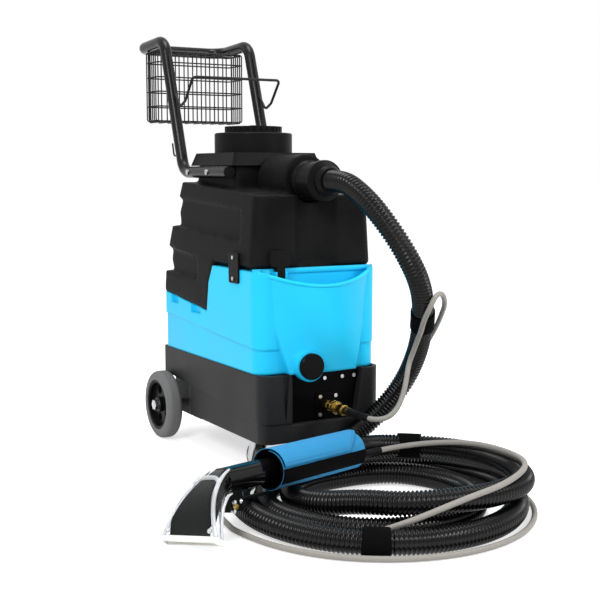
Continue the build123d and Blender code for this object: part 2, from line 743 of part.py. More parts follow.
def solution_tank():
    over = 1.0
    wide = TANK_HALF + over
    body = plan_block(TANK_HALF, TANK_FRONT, TANK_REAR, BASE_TOP, TANK_TOP, TANK_CORNER, TANK_REAR_CORNER)
    lower = plan_block(TANK_HALF - STEP_DEPTH, TANK_FRONT + STEP_DEPTH, TANK_REAR - STEP_DEPTH, BASE_TOP,
                       TANK_TOP, TANK_CORNER - STEP_DEPTH, TANK_REAR_CORNER)
    step = side_prism([(TANK_FRONT - over, STEP_FRONT_Z), (TANK_REAR + over, STEP_REAR_Z),
                       (TANK_REAR + over, BASE_TOP - over), (TANK_FRONT - over, BASE_TOP - over)], -wide, wide)
    body = body - step + (lower & step)
    body -= tongue_space(0, -wide, wide)
    body += scoop_solid(0, BASE_TOP, SCOOP_SHOULDER + TANK_WALL)
    body -= lip_cut()
    room = plan_block(TANK_HALF - STEP_DEPTH - TANK_WALL, TANK_FRONT + STEP_DEPTH + TANK_WALL,
                      TANK_REAR - STEP_DEPTH - TANK_WALL, BASE_TOP + TANK_WALL, TANK_TOP - TANK_WALL,
                      TANK_CORNER - STEP_DEPTH - TANK_WALL)
    room -= tongue_space(TANK_WALL, -wide, wide)
    body -= room
    body -= scoop_solid(TANK_WALL, SCOOP_FLOOR, RECOVERY_FRONT + 2 * over)
    weir = RECOVERY_FRONT + WEIR_SETBACK
    body += block(-TANK_HALF + TANK_WALL, TANK_HALF - TANK_WALL, weir, weir + TANK_WALL, WEIR_FOOT, TANK_TOP)
    boss_rear = SCOOP_FOOT_FRONT + 2 * TANK_WALL
    body += rod((DRAIN_X, boss_rear, DRAIN_Z), (DRAIN_X, DRAIN_BOSS_FRONT, DRAIN_Z), DRAIN_BOSS)
    body -= rod((DRAIN_X, boss_rear + TANK_WALL, DRAIN_Z), (DRAIN_X, DRAIN_BOSS_FRONT, DRAIN_Z),
                DRAIN_BORE + RUNNING)
    lug_low = LATCH_PIN_Z - 2 * LATCH_PIN_RADIUS
    for side in (-1, 1):
        inner = LATCH_X + side * (LATCH_NECK_HALF + FACE_GAP)
        left, right = sorted((inner, inner + side * LATCH_LUG))
        body += block(left, right, LATCH_PIN_Y - 2 * LATCH_PIN_RADIUS, RECOVERY_FRONT + 2 * TANK_WALL,
                      lug_low, TANK_TOP)
    body += latch_rod(LATCH_PIN_RADIUS)
    floor = TANK_HALF - POCKET_DEPTH
    for side in (-1, 1):
        for span in POCKET_SPANS:
            lining = finger_pocket(side, span, TANK_HALF - STEP_DEPTH, floor - TANK_WALL, TANK_WALL)
            body += lining - tongue_space(0, -wide, wide)
            body -= finger_pocket(side, span, TANK_HALF + over, floor, 0)
    channel = STANDPIPE_RADIUS + 2 * STANDPIPE_WALL
    body += rod((0, 0, BASE_TOP), (0, 0, seam_z(0)), channel + TANK_WALL) - tongue_space(0, -wide, wide)
    return body - rod((0, 0, BASE_TOP - over), (0, 0, TANK_TOP), channel)


def drain_cap():
    front = DRAIN_BOSS_FRONT - FACE_GAP - DRAIN_CAP_THICK
    seat = DRAIN_BOSS_FRONT - FACE_GAP
    cap = rod((DRAIN_X, seat, DRAIN_Z), (DRAIN_X, front, DRAIN_Z), DRAIN_CAP)
    cap = chamfer(cap.edges().filter_by(GeomType.CIRCLE).sort_by(Axis.Y)[0], DRAIN_CAP_THICK / 5)
    return cap + rod((DRAIN_X, seat + DRAIN_STUB, DRAIN_Z), (DRAIN_X, seat, DRAIN_Z), DRAIN_BORE)


def recovery_profile():
    return [
        (RECOVERY_FRONT, RECOVERY_SHADOW),
        (RECOVERY_FRONT, RECOVERY_FRONT_TOP),
        (RECOVERY_REAR_TOP_Y, RECOVERY_REAR_TOP),
        BAND_ONE,
        BAND_TWO,
        BAND_TWO_LOW,
        BAND_THREE,
        (TANK_REAR + STEP_DEPTH, SEAM_REAR_Z + STEP_DEPTH),
        (TANK_REAR, SEAM_REAR_Z),
        (SEAM_FRONT_Y, SEAM_FRONT_Z),
        (SEAM_KNEE_Y, SEAM_KNEE_Z),
        (SEAM_TOP_Y, TANK_TOP),
        (SEAM_TOP_Y, RECOVERY_SHADOW),
    ]


def window_half(z):
    share = (z - RECOVERY_SHADOW) / (NECK_TOP - RECOVERY_SHADOW)
    return RECOVERY_HALF + (RECOVERY_TOP_HALF - RECOVERY_HALF) * max(share, 0)


def recovery_windows():
    far = TANK_REAR + TANK_CORNER
    beyond = TANK_HALF + TANK_CORNER
    inset = 2 * WINDOW_DEPTH
    cuts = []
    for front, top, low, upper, bulge, lower in (
            (WINDOW_ONE_FRONT, WINDOW_ONE_TOP, WINDOW_ONE_LOW, BAND_ONE, BULGE_ONE, BAND_TWO),
            (WINDOW_TWO_FRONT, WINDOW_TWO_TOP, WINDOW_TWO_LOW, BAND_TWO_LOW, BULGE_TWO, BAND_THREE)):
        floor = window_half((top + low) / 2) - WINDOW_DEPTH
        outline = [(front, top), (front, low), lower, (far, lower[1]), (far, upper[1]), upper]
        cuts.append(side_prism(outline, floor, beyond))
        cuts.append(side_prism(outline, -beyond, -floor))
        back = [upper, (upper[0] - inset, upper[1] - 3), bulge, (lower[0] - 2 * inset, lower[1] + 3), lower,
                (far, lower[1]), (far, upper[1])]
        cuts.append(side_prism(back, -beyond, beyond))
    return cuts


def recovery_tank():
    over = 1.0
    far = TANK_REAR + TANK_CORNER
    low_half = TANK_HALF
    mid = (RECOVERY_FRONT + far) / 2
    depth = far - RECOVERY_FRONT
    upper = loft([
        Pos(0, mid, RECOVERY_SHADOW) * RectangleRounded(2 * RECOVERY_HALF, depth, RECOVERY_CORNER),
        Pos(0, mid, NECK_TOP) * RectangleRounded(2 * RECOVERY_TOP_HALF, depth, RECOVERY_CORNER),
    ])
    lower = block(-low_half, low_half, SEAM_TOP_Y - TANK_CORNER, far, BASE_TOP, RECOVERY_SHADOW)
    body = side_prism(recovery_profile(), -low_half, low_half) & (upper + lower)
    plinth = RECOVERY_PLINTH_INSET
    body += block(-RECOVERY_HALF + plinth, RECOVERY_HALF - plinth, RECOVERY_FRONT + plinth,
                  SEAM_TOP_Y + plinth, TANK_TOP, RECOVERY_SHADOW + over)
    for cut in recovery_windows():
        body -= cut
    valley_y = RECOVERY_FRONT + VALLEY_DEPTH - VALLEY_RADIUS
    body -= rod((0, valley_y, RECOVERY_SHADOW - over), (0, valley_y, RECOVERY_FRONT_TOP + over), VALLEY_RADIUS)
    body += plan_block(NECK_HALF, NECK_FRONT, NECK_REAR, RECOVERY_FRONT_TOP - RECOVERY_WALL, NECK_TOP,
                       RECOVERY_WALL)
    body -= rod((0, RECOVERY_FRONT - over, INLET_Z), (0, INLET_FRONT, INLET_Z), CUFF_FLANGE + CUFF_CLEAR)
    body += rod((0, INLET_FRONT, INLET_Z), (0, HOOD_FRONT - over, INLET_Z), INLET_RADIUS)
    body += rod((0, HOOD_FRONT - over, INLET_Z), (0, NECK_FRONT + over, INLET_Z), NECK_TOP - INLET_Z - over)
    wall = RECOVERY_WALL
    body -= plan_block(RECOVERY_TOP_HALF - wall, RECOVERY_FRONT + VALLEY_DEPTH + wall,
                       RECOVERY_REAR_TOP_Y - wall, RECOVERY_SHADOW + wall / 2, RECOVERY_FRONT_TOP - wall,
                       RECOVERY_CORNER - wall)
    rear_room = block(-TANK_HALF + 2 * wall, TANK_HALF - 2 * wall, SEAM_FRONT_Y + 2 * wall,
                      BULGE_TWO[0] - 2 * wall, SEAM_REAR_Z + wall, RECOVERY_SHADOW + wall)
    body -= rear_room
    body -= plan_block(NECK_HALF - NECK_WALL, NECK_FRONT + NECK_WALL, RECOVERY_REAR_TOP_Y - wall,
                       RECOVERY_FRONT_TOP - 2 * wall, NECK_TOP - NECK_WALL, NECK_WALL)
    body -= rod((0, LID_Y, NECK_TOP - 2 * NECK_WALL), (0, LID_Y, NECK_TOP + over), LID_BORE)
    body -= rod((0, INLET_FRONT - over, INLET_Z), (0, INLET_FRONT + CUFF_SPIGOT_LENGTH + over, INLET_Z),
                CUFF_SPIGOT + RUNNING)
    drop_y = INLET_FRONT + CUFF_SPIGOT_LENGTH + CUFF_SPIGOT / 2
    body -= rod((0, INLET_FRONT, INLET_Z), (0, drop_y + CUFF_SPIGOT, INLET_Z), CUFF_SPIGOT - NECK_WALL)
    body -= rod((0, drop_y, INLET_Z), (0, drop_y, RECOVERY_FRONT_TOP - 2 * wall), CUFF_SPIGOT - NECK_WALL)
    body -= rod((0, 0, BASE_TOP), (0, 0, RECOVERY_SHADOW), STANDPIPE_RADIUS)
    for piece in handle_bolts():
        body -= piece
    return body


def tie_straps():
    straps = []
    for side in (-1, 1):
        left, right = sorted((side * TANK_HALF, side * (TANK_HALF + STRAP_THICK)))
        strap = block(left, right, STRAP_FRONT, STRAP_REAR, STRAP_LOW, STRAP_HIGH)
        straps.append(fillet(strap.edges().filter_by(Axis.X), STRAP_THICK))
    return straps


def drilled_straps():
    return [drill_screws(strap, strap_screws()) for strap in tie_straps()]


def strap_screws():
    heads = []
    y = (STRAP_FRONT + STRAP_REAR) / 2
    for side in (-1, 1):
        for z in (STRAP_LOW + STRAP_SCREW_INSET, STRAP_HIGH - STRAP_SCREW_INSET):
            heads.append(screw((side * (TANK_HALF + STRAP_THICK), y, z), (side, 0, 0), STRAP_THICK))
    return heads


def latch_rod(radius):
    reach = LATCH_NECK_HALF + FACE_GAP + LATCH_LUG
    return rod((LATCH_X - reach, LATCH_PIN_Y, LATCH_PIN_Z), (LATCH_X + reach, LATCH_PIN_Y, LATCH_PIN_Z), radius)


def latch_strap():
    rear = RECOVERY_FRONT - FACE_GAP
    front = rear - LATCH_THICK
    head = block(LATCH_X - LATCH_HEAD_HALF, LATCH_X + LATCH_HEAD_HALF, front, rear, LATCH_HEAD_LOW, LATCH_TOP)
    head = fillet(head.edges().filter_by(Axis.Y), LATCH_THICK * 0.7)
    neck = block(LATCH_X - LATCH_NECK_HALF, LATCH_X + LATCH_NECK_HALF, front, rear - FACE_GAP,
                 LATCH_PIN_Z - 2 * LATCH_PIN_RADIUS, LATCH_HEAD_LOW + 1)
    return head + neck - latch_rod(LATCH_PIN_RADIUS + RUNNING)


def hose_cuff():
    flange = INLET_FRONT - FACE_GAP
    spigot = INLET_FRONT + CUFF_SPIGOT_LENGTH
    run = flange - CUFF_MOUTH
    steps = [
        (HOSE_BORE, spigot), (CUFF_SPIGOT, spigot), (CUFF_SPIGOT, flange), (CUFF_FLANGE, flange),
        (CUFF_FLANGE, flange - 0.13 * run), (CUFF_BODY, flange - 0.17 * run), (CUFF_BODY, flange - 0.62 * run),
        (CUFF_FLANGE, flange - 0.65 * run), (CUFF_FLANGE, flange - 0.76 * run),
        (CUFF_COLLAR, flange - 0.79 * run), (CUFF_COLLAR, flange - 0.92 * run),
        (HOSE_RADIUS + 4, CUFF_MOUTH), (HOSE_BORE, CUFF_MOUTH),
    ]
    return turned([(r, y, INLET_Z) for r, y in steps], Axis((0, 0, INLET_Z), (0, 1, 0)))


def vacuum_cover():
    mid = (HOOD_FRONT + HOOD_REAR) / 2
    depth = HOOD_REAR - HOOD_FRONT
    hood = loft([
        Pos(0, mid, NECK_TOP) * RectangleRounded(2 * HOOD_HALF, depth, 6),
        Pos(0, mid, HOOD_TOP) * RectangleRounded(2 * (HOOD_HALF - HOOD_FLARE), depth - 2 * HOOD_FLARE, 6),
    ])
    ring = rod((0, LID_Y, HOOD_TOP - 1), (0, LID_Y, COLLAR_RING_TOP), COLLAR_RING)
    ring = fillet(ring.edges().filter_by(GeomType.CIRCLE).sort_by(Axis.Z)[-1], 4)
    cover = hood + ring
    cover -= rod((0, LID_Y, NECK_TOP - 1), (0, LID_Y, COLLAR_RING_TOP), LID_BORE)
    return cover - rod((0, LID_Y, LID_SEAT_Z), (0, LID_Y, COLLAR_RING_TOP), LID_SEAT + RUNNING)


def lid_gasket():
    return rod((0, LID_Y, LID_SEAT_Z), (0, LID_Y, LID_SEAT_Z + GASKET_THICK), LID_SEAT) \
        - rod((0, LID_Y, LID_SEAT_Z), (0, LID_Y, LID_SEAT_Z + GASKET_THICK), LID_BORE)


def access_lid():
    low = LID_SEAT_Z + GASKET_THICK + FACE_GAP
    plate_top = COLLAR_RING_TOP + 3
    lid = rod((0, LID_Y, low), (0, LID_Y, plate_top), LID_SEAT)
    lid -= rod((0, LID_Y, COLLAR_RING_TOP), (0, LID_Y, plate_top), LID_SEAT) \
        - rod((0, LID_Y, COLLAR_RING_TOP), (0, LID_Y, plate_top), LID_GRIP)
    grip = rod((0, LID_Y, plate_top), (0, LID_Y, LID_TOP), LID_GRIP) \
        - rod((0, LID_Y, plate_top), (0, LID_Y, LID_TOP), LID_GRIP - 10)
    for index in range(LID_LUGS):
        angle = 2 * math.pi * index / LID_LUGS
        x = LID_GRIP * math.cos(angle)
        y = LID_Y + LID_GRIP * math.sin(angle)
        grip -= rod((x, y, plate_top), (x, y, LID_TOP), LID_GRIP * math.pi / LID_LUGS / 2.2)
    return lid + grip + rod((0, LID_Y, plate_top), (0, LID_Y, LID_TOP + 3), LID_KNOB)


def standpipe():
    pipe = rod((0, 0, MOTOR_TOP), (0, 0, STANDPIPE_TOP), STANDPIPE_RADIUS)
    return pipe - rod((0, 0, MOTOR_TOP), (0, 0, STANDPIPE_TOP), STANDPIPE_RADIUS - STANDPIPE_WALL)


def float_cage():
    top = STANDPIPE_TOP + FLOAT_CAGE_HEIGHT
    cage = rod((0, 0, STANDPIPE_TOP), (0, 0, top), FLOAT_CAGE_RADIUS)
    cage -= rod((0, 0, STANDPIPE_TOP + FLOAT_PLATE), (0, 0, top - FLOAT_PLATE), FLOAT_CAGE_RADIUS - 3)
    cage -= rod((0, 0, STANDPIPE_TOP), (0, 0, STANDPIPE_TOP + FLOAT_PLATE), FLOAT_SEAT)
    middle = STANDPIPE_TOP + FLOAT_CAGE_HEIGHT / 2
    for turn in (0, 60, 120):
        slot = Box(3 * FLOAT_CAGE_RADIUS, FLOAT_CAGE_RADIUS / 2, FLOAT_CAGE_HEIGHT - 12)
        cage -= Pos(0, 0, middle) * Rot(0, 0, turn) * slot
    return cage


def float_ball():
    # The ball rests in the mouth of the seat
    rest = math.sqrt(FLOAT_RADIUS ** 2 - FLOAT_SEAT ** 2)
    return Pos(0, 0, STANDPIPE_TOP + FLOAT_PLATE + FACE_GAP + rest) * Sphere(FLOAT_RADIUS)


def vacuum_motor():
    case = rod((0, MOTOR_Y, CRADLE_Z), (0, MOTOR_Y, MOTOR_TOP), MOTOR_RADIUS)
    case = chamfer(case.edges().filter_by(GeomType.CIRCLE).sort_by(Axis.Z)[-1], 6)
    rib = rod((0, MOTOR_Y, MOTOR_TOP - 50), (0, MOTOR_Y, MOTOR_TOP - 38), MOTOR_RADIUS)
    return case - (rib - rod((0, MOTOR_Y, MOTOR_TOP - 50), (0, MOTOR_Y, MOTOR_TOP - 38), MOTOR_RADIUS - 4))


def solution_pump():
    z = CRADLE_Z + PUMP_RADIUS
    half = PUMP_LENGTH / 2
    body = rod((PUMP_X, PUMP_Y - half, z), (PUMP_X, PUMP_Y + half, z), PUMP_RADIUS)
    foot = block(PUMP_X - PUMP_RADIUS, PUMP_X + PUMP_RADIUS, PUMP_Y - half * 0.7, PUMP_Y + half * 0.7,
                 CRADLE_Z, z)
    return body + foot


def heater():
    can = rod((HEATER_X, HEATER_Y, CRADLE_Z), (HEATER_X, HEATER_Y, CRADLE_Z + HEATER_HEIGHT), HEATER_RADIUS)
    can = chamfer(can.edges().filter_by(GeomType.CIRCLE).sort_by(Axis.Z)[-1], 5)
    top = CRADLE_Z + HEATER_HEIGHT
    for dx in (-HEATER_RADIUS / 2, HEATER_RADIUS / 2):
        can += rod((HEATER_X + dx, HEATER_Y, top - 1), (HEATER_X + dx, HEATER_Y, top + 12), 6)
    return can


def handle_path():
    left = [(-HANDLE_X, HANDLE_FOOT_FRONT, HANDLE_FOOT_Z), (-HANDLE_X, HANDLE_FOOT_REAR, HANDLE_FOOT_Z),
            (-HANDLE_X, HANDLE_TOP_Y, HANDLE_TOP_Z), (-HANDLE_X, GRIP_Y, GRIP_Z)]
    right = [(-x, y, z) for x, y, z in reversed(left)]
    return FilletPolyline(*left, *right, radius=HANDLE_BEND)


def bolt_seats():
    for side in (-1, 1):
        for y in HANDLE_BOLT_YS:
            yield side, y


def handle_bolts():
    reach = 2 * TUBE_RADIUS + NECK_WALL
    return [screw((side * (HANDLE_X + TUBE_RADIUS), y, HANDLE_FOOT_Z), (side, 0, 0), reach,
                  HANDLE_BOLT_RADIUS, HANDLE_BOLT_HEAD, HANDLE_BOLT_HEAD_HEIGHT)
            for side, y in bolt_seats()]


def handle_frame():
    start = Plane((-HANDLE_X, HANDLE_FOOT_FRONT, HANDLE_FOOT_Z), z_dir=(0, 1, 0))
    tube = sweep(start * (Circle(TUBE_RADIUS) - Circle(TUBE_RADIUS - TUBE_WALL)), path=handle_path())
    for piece in handle_bolts():
        tube -= piece
    return tube


def handle_plugs():
    plugs = []
    for side in (-1, 1):
        x = side * HANDLE_X
        cap = rod((x, HANDLE_FOOT_FRONT - PLUG_CAP_THICK, HANDLE_FOOT_Z), (x, HANDLE_FOOT_FRONT, HANDLE_FOOT_Z),
                  TUBE_RADIUS)
        stem = rod((x, HANDLE_FOOT_FRONT, HANDLE_FOOT_Z), (x, HANDLE_FOOT_FRONT + PLUG_INSERT, HANDLE_FOOT_Z),
                   TUBE_RADIUS - TUBE_WALL)
        plugs.append(cap + stem)
    return plugs


def net(width, height, columns, rows):
    # A flat grid of wires: a plate with rectangular gaps, one wire thick
    gap_w = (width - (columns + 1) * BASKET_WIRE) / columns
    gap_h = (height - (rows + 1) * BASKET_WIRE) / rows
    gaps = GridLocations(gap_w + BASKET_WIRE, gap_h + BASKET_WIRE, columns, rows)
    return extrude(Rectangle(width, height) - gaps * Rectangle(gap_w, gap_h), BASKET_WIRE)


def wire_basket():
    depth = BASKET_REAR - BASKET_FRONT
    height = BASKET_TOP - BASKET_LOW
    mid_y = (BASKET_FRONT + BASKET_REAR) / 2
    mid_z = (BASKET_LOW + BASKET_TOP) / 2
    face = net(2 * BASKET_HALF, height, BASKET_COLUMNS, BASKET_ROWS)
    end = net(depth, height, BASKET_DEPTH_COLUMNS, BASKET_ROWS)
    floor = net(2 * BASKET_HALF, depth, BASKET_COLUMNS, BASKET_DEPTH_COLUMNS)
    basket = Plane((0, BASKET_FRONT, mid_z), x_dir=(1, 0, 0), z_dir=(0, 1, 0)) * face
    basket += Plane((0, BASKET_REAR, mid_z), x_dir=(1, 0, 0), z_dir=(0, -1, 0)) * face
    for side in (-1, 1):
        plane = Plane((side * BASKET_HALF, mid_y, mid_z), x_dir=(0, 1, 0), z_dir=(-side, 0, 0))
        basket += plane * end
    return basket + Pos(0, mid_y, BASKET_LOW) * floor


def upright_y(z):
    share = (z - HANDLE_FOOT_Z) / (HANDLE_TOP_Z - HANDLE_FOOT_Z)
    return HANDLE_FOOT_REAR + share * (HANDLE_TOP_Y - HANDLE_FOOT_REAR)


def upright_lean():
    return math.atan2(HANDLE_TOP_Y - HANDLE_FOOT_REAR, HANDLE_TOP_Z - HANDLE_FOOT_Z)


def beside_upright(z, offset):
    # A point square off the upright's centre line, ahead for a positive offset
    lean = upright_lean()
    return upright_y(z) - offset * math.cos(lean), z + offset * math.sin(lean)


def wire_sweep(points, radii, wire):
    path = FilletPolyline(*points, radius=radii)
    start = Vector(*points[1]) - Vector(*points[0])
    return sweep(Plane(points[0], z_dir=start) * Circle(wire), path=path)


def hose_rack():
    offset = TUBE_RADIUS + RACK_WIRE + RUNNING
    side = [(-HANDLE_X, *beside_upright(RACK_HIGH, offset)), (-HANDLE_X, *beside_upright(RACK_LEAVE, offset)),
            (-HANDLE_X, RACK_LOW_Y, RACK_LOW_Z), (-HANDLE_X, RACK_HOOK_Y, RACK_LOW_Z + 4 * RACK_WIRE),
            (-HANDLE_X, RACK_BAR_Y, RACK_BAR_Z)]
    other = [(-x, y, z) for x, y, z in reversed(side)]
    bends = [12, 15, 21, 9, 9, 21, 15, 12]
    return wire_sweep(side + other, bends, RACK_WIRE)


def upright_rod(side, radius):
    low = (side * HANDLE_X, upright_y(HANDLE_FOOT_Z), HANDLE_FOOT_Z)
    high = (side * HANDLE_X, upright_y(HANDLE_TOP_Z), HANDLE_TOP_Z)
    return rod(low, high, radius)


def cord_hooks():
    hooks = []
    centre = upright_y(HOOK_Z)
    reach = centre + TUBE_RADIUS + HOOK_REACH
    for side in (-1, 1):
        x = side * HANDLE_X
        points = [(x, centre + TUBE_RADIUS - HOOK_WIRE, HOOK_Z), (x, reach, HOOK_Z),
                  (x, reach + 4 * HOOK_WIRE, HOOK_Z + HOOK_RISE)]
        hooks.append(wire_sweep(points, 8, HOOK_WIRE) - upright_rod(side, TUBE_RADIUS + FACE_GAP))
    return hooks


def rocker_x(index):
    return SWITCH_SHIFT + (index - 1) * SWITCH_PITCH


def switch_pin_y():
    return BASE_REAR


def switch_mid_z():
    return (SWITCH_PANEL_LOW + SWITCH_PANEL_HIGH) / 2


def rocker_rod(index, radius, reach):
    x = rocker_x(index)
    return rod((x - reach, switch_pin_y(), switch_mid_z()), (x + reach, switch_pin_y(), switch_mid_z()), radius)


def switch_panel():
    rear = BASE_REAR + SWITCH_PANEL_PROUD
    front = BASE_REAR - BASE_WALL
    panel = block(-SWITCH_PANEL_HALF, SWITCH_PANEL_HALF, front, rear, SWITCH_PANEL_LOW, SWITCH_PANEL_HIGH)
    for index in range(3):
        half = ROCKER_HALF_WIDTH + FACE_GAP
        x = rocker_x(index)
        panel -= block(x - half, x + half, front, rear, switch_mid_z() - ROCKER_HALF_HEIGHT - ROCKER_PLAY,
                       switch_mid_z() + ROCKER_HALF_HEIGHT + ROCKER_PLAY)
        panel -= rocker_rod(index, ROCKER_PIN + RUNNING, half + 3)
    return panel - rod((GLAND_X, front, switch_mid_z()), (GLAND_X, rear, switch_mid_z()), GLAND_BORE)


def rocker(index):
    # A shallow V seen from the side: one half stands proud, and the switch tips about its pin
    x = rocker_x(index)
    tilt = math.radians(ROCKER_TILT)
    rise = ROCKER_HALF_HEIGHT * math.tan(tilt)
    y = switch_pin_y()
    z = switch_mid_z()
    face = SWITCH_PANEL_PROUD
    outline = [(y - BASE_WALL + 1, z - ROCKER_HALF_HEIGHT / 2), (y + face - 1, z - ROCKER_HALF_HEIGHT),
               (y + face + 1, z), (y + face + 1 + 2 * rise, z + ROCKER_HALF_HEIGHT),
               (y - BASE_WALL + 1, z + ROCKER_HALF_HEIGHT / 2)]
    body = side_prism(outline, x - ROCKER_HALF_WIDTH, x + ROCKER_HALF_WIDTH)
    return body + rocker_rod(index, ROCKER_PIN, ROCKER_HALF_WIDTH + 3)


def cord_inlet():
    rear = BASE_REAR + SWITCH_PANEL_PROUD
    z = switch_mid_z()
    gland = rod((GLAND_X, rear, z), (GLAND_X, rear + GLAND_LENGTH, z), GLAND_RADIUS * 0.75)
    plane = Plane((GLAND_X, rear, z), x_dir=(1, 0, 0), z_dir=(0, 1, 0))
    gland += plane * extrude(RegularPolygon(GLAND_RADIUS, 6), GLAND_LENGTH / 3)
    return gland - rod((GLAND_X, rear, z), (GLAND_X, rear + GLAND_LENGTH, z), GLAND_BORE)


def polar(radius, degrees, z):
    angle = math.radians(degrees)
    return Vector(COIL_X + radius * math.cos(angle), COIL_Y + radius * math.sin(angle), z)


def turn_stations(table, start, step):
    # Points of a loose coil and the directions the tube runs at them
    points = [polar(r, start + step * k, z) for k, (r, z) in enumerate(table)]
    tangents = []
    for k, (r, z) in enumerate(table):
        before = table[max(k - 1, 0)]
        after = table[min(k + 1, len(table) - 1)]
        span = math.radians(step) * (min(k + 1, len(table) - 1) - max(k - 1, 0))
        grow = (after[0] - before[0]) / span
        climb = (after[1] - before[1]) / span
        angle = math.radians(start + step * k)
        out = Vector(math.cos(angle), math.sin(angle), 0)
        along = Vector(-math.sin(angle), math.cos(angle), 0)
        tangents.append((along * r + out * grow + Vector(0, 0, climb)).normalized())
    return points, tangents


def biarc(p0, t0, p1, t1):
    # Two arcs that leave p0 along t0 and reach p1 along t1
    chord = p1 - p0
    along = chord.dot(t0 + t1)
    bend = 2 * (1 - t0.dot(t1))
    reach = (math.sqrt(along * along + bend * chord.dot(chord)) - along) / bend
    inner0 = p0 + t0 * reach
    inner1 = p1 - t1 * reach
    middle = (inner0 + inner1) / 2
    return [Edge.make_tangent_arc(p0, t0, middle), Edge.make_tangent_arc(middle, inner1 - inner0, p1)]


def biarc_path(points, tangents):
    edges = []
    for k in range(len(points) - 1):
        edges += biarc(points[k], tangents[k], points[k + 1], tangents[k + 1])
    return Wire(edges)


def corner_radii(points):
    # Each arc is as large as its two runs allow
    spots = [Vector(*p) for p in points]
    radii = []
    for before, at, after in zip(spots, spots[1:], spots[2:]):
        shorter = min((at - before).length, (after - at).length)
        half_turn = math.radians((at - before).get_angle(after - at)) / 2
        radii.append(0.45 * shorter / math.tan(half_turn))
    return radii


def tool_axes():
    heading = math.radians(TOOL_HEADING)
    rise = math.radians(TOOL_RISE)
    roll = math.radians(TOOL_ROLL)
    along = Vector(math.cos(heading) * math.cos(rise), math.sin(heading) * math.cos(rise), math.sin(rise))
    level = Vector(-math.sin(heading), math.cos(heading), 0)
    upright = along.cross(level)
    up = upright * math.cos(roll) - level * math.sin(roll)
    return along, up


TOOL_ALONG, TOOL_UP = tool_axes()
TOOL_PLANE = Plane(Vector(*TOOL_TAIL), x_dir=TOOL_ALONG, z_dir=TOOL_UP)
COIL_STATIONS, COIL_TANGENTS = turn_stations(COIL_EIGHTHS, COIL_START, 45.0)
LINE_STATIONS, LINE_TANGENTS = turn_stations(LINE_EIGHTHS, LINE_START, 45.0)


def drop_path():
    entry = COIL_STATIONS[0] - COIL_TANGENTS[0] * 44
    outlet = (0, CUFF_MOUTH, INLET_Z)
    points = [outlet] + DROP_POINTS + [tuple(entry), tuple(COIL_STATIONS[0])]
    radii = corner_radii(points)
    print("hose drop radii", [round(r) for r in radii])
    return FilletPolyline(*points, radius=radii)


def coil_path():
    return biarc_path(COIL_STATIONS + [Vector(*TOOL_TAIL)], COIL_TANGENTS + [TOOL_ALONG])


def line_drop_path():
    entry = LINE_STATIONS[0] - LINE_TANGENTS[0] * 34
    outlet = (COUPLING_X, BOOT_END, COUPLING_Z)
    points = [outlet] + LINE_POINTS + [tuple(entry), tuple(LINE_STATIONS[0])]
    radii = corner_radii(points)
    print("line drop radii", [round(r) for r in radii])
    return FilletPolyline(*points, radius=radii)


def line_coil_path():
    gate = TOOL_PLANE.from_local_coords(Vector(0, TOOL_TUBE + 2 * LINE_RADIUS, -2 * LINE_RADIUS))
    return biarc_path(LINE_STATIONS + [gate], LINE_TANGENTS + [TOOL_ALONG])


def ribbed_tube(path, ribs, steady):
    # Ribs as a ruled skin through four circles each; the ends run straight and plain
    length = path.length
    plain = 2 * HOSE_RADIUS / length
    pitch = (1 - 2 * plain) / ribs
    stations = [(0.0, HOSE_VALLEY)]
    for rib in range(ribs):
        start = plain + rib * pitch
        for share, radius in ((0.0, HOSE_VALLEY), (0.25, HOSE_RADIUS), (0.55, HOSE_RADIUS), (0.8, HOSE_VALLEY)):
            stations.append((start + share * pitch, radius))
    stations.append((1.0, HOSE_VALLEY))
    outer = []
    inner = []
    for share, radius in stations:
        plane = Plane(path.position_at(share), x_dir=steady, z_dir=path.tangent_at(share))
        outer.append(Wire.make_circle(radius, plane))
        inner.append(Wire.make_circle(HOSE_BORE, plane))
    return Solid.make_loft(outer, ruled=True) - Solid.make_loft(inner, ruled=True)


def round_sweep(path, radius):
    start = Plane(path.position_at(0), z_dir=path.tangent_at(0))
    tube = sweep(start * Circle(radius), path=path)
    print("tube volume share", round(tube.volume / (math.pi * radius ** 2 * path.length), 4))
    return tube


def path_points(path, spacing):
    count = int(path.length / spacing)
    return [path.position_at(k / count) for k in range(count + 1)]


def least_gap(first, second, touch):
    # Smallest clear distance between two runs of points, leaving out neighbours along one run
    same = first is second
    least = None
    for i, p in enumerate(first):
        for j, q in enumerate(second):
            if same and abs(i - j) < 16:
                continue
            d = (p - q).length - touch
            least = d if least is None else min(least, d)
    return round(least, 2)


def report_gaps():
    hose = path_points(coil_path(), 12)
    drop = path_points(drop_path(), 12)
    line = path_points(line_coil_path(), 12)
    feed = path_points(line_drop_path(), 12)
    print("hose length", round(coil_path().length + drop_path().length),
          "line length", round(line_coil_path().length + line_drop_path().length))
    print("coil to itself", least_gap(hose, hose, 2 * HOSE_RADIUS))
    print("drop to coil", least_gap(drop[:-16], hose[16:], 2 * HOSE_RADIUS))
    print("line to itself", least_gap(line, line, 2 * LINE_RADIUS))
    print("line to coil", least_gap(line, hose, HOSE_RADIUS + LINE_RADIUS))
    print("line to drop", least_gap(line, drop, HOSE_RADIUS + LINE_RADIUS))
    print("feed to drop", least_gap(feed, drop, HOSE_RADIUS + LINE_RADIUS))
    print("feed to coil", least_gap(feed, hose, HOSE_RADIUS + LINE_RADIUS))


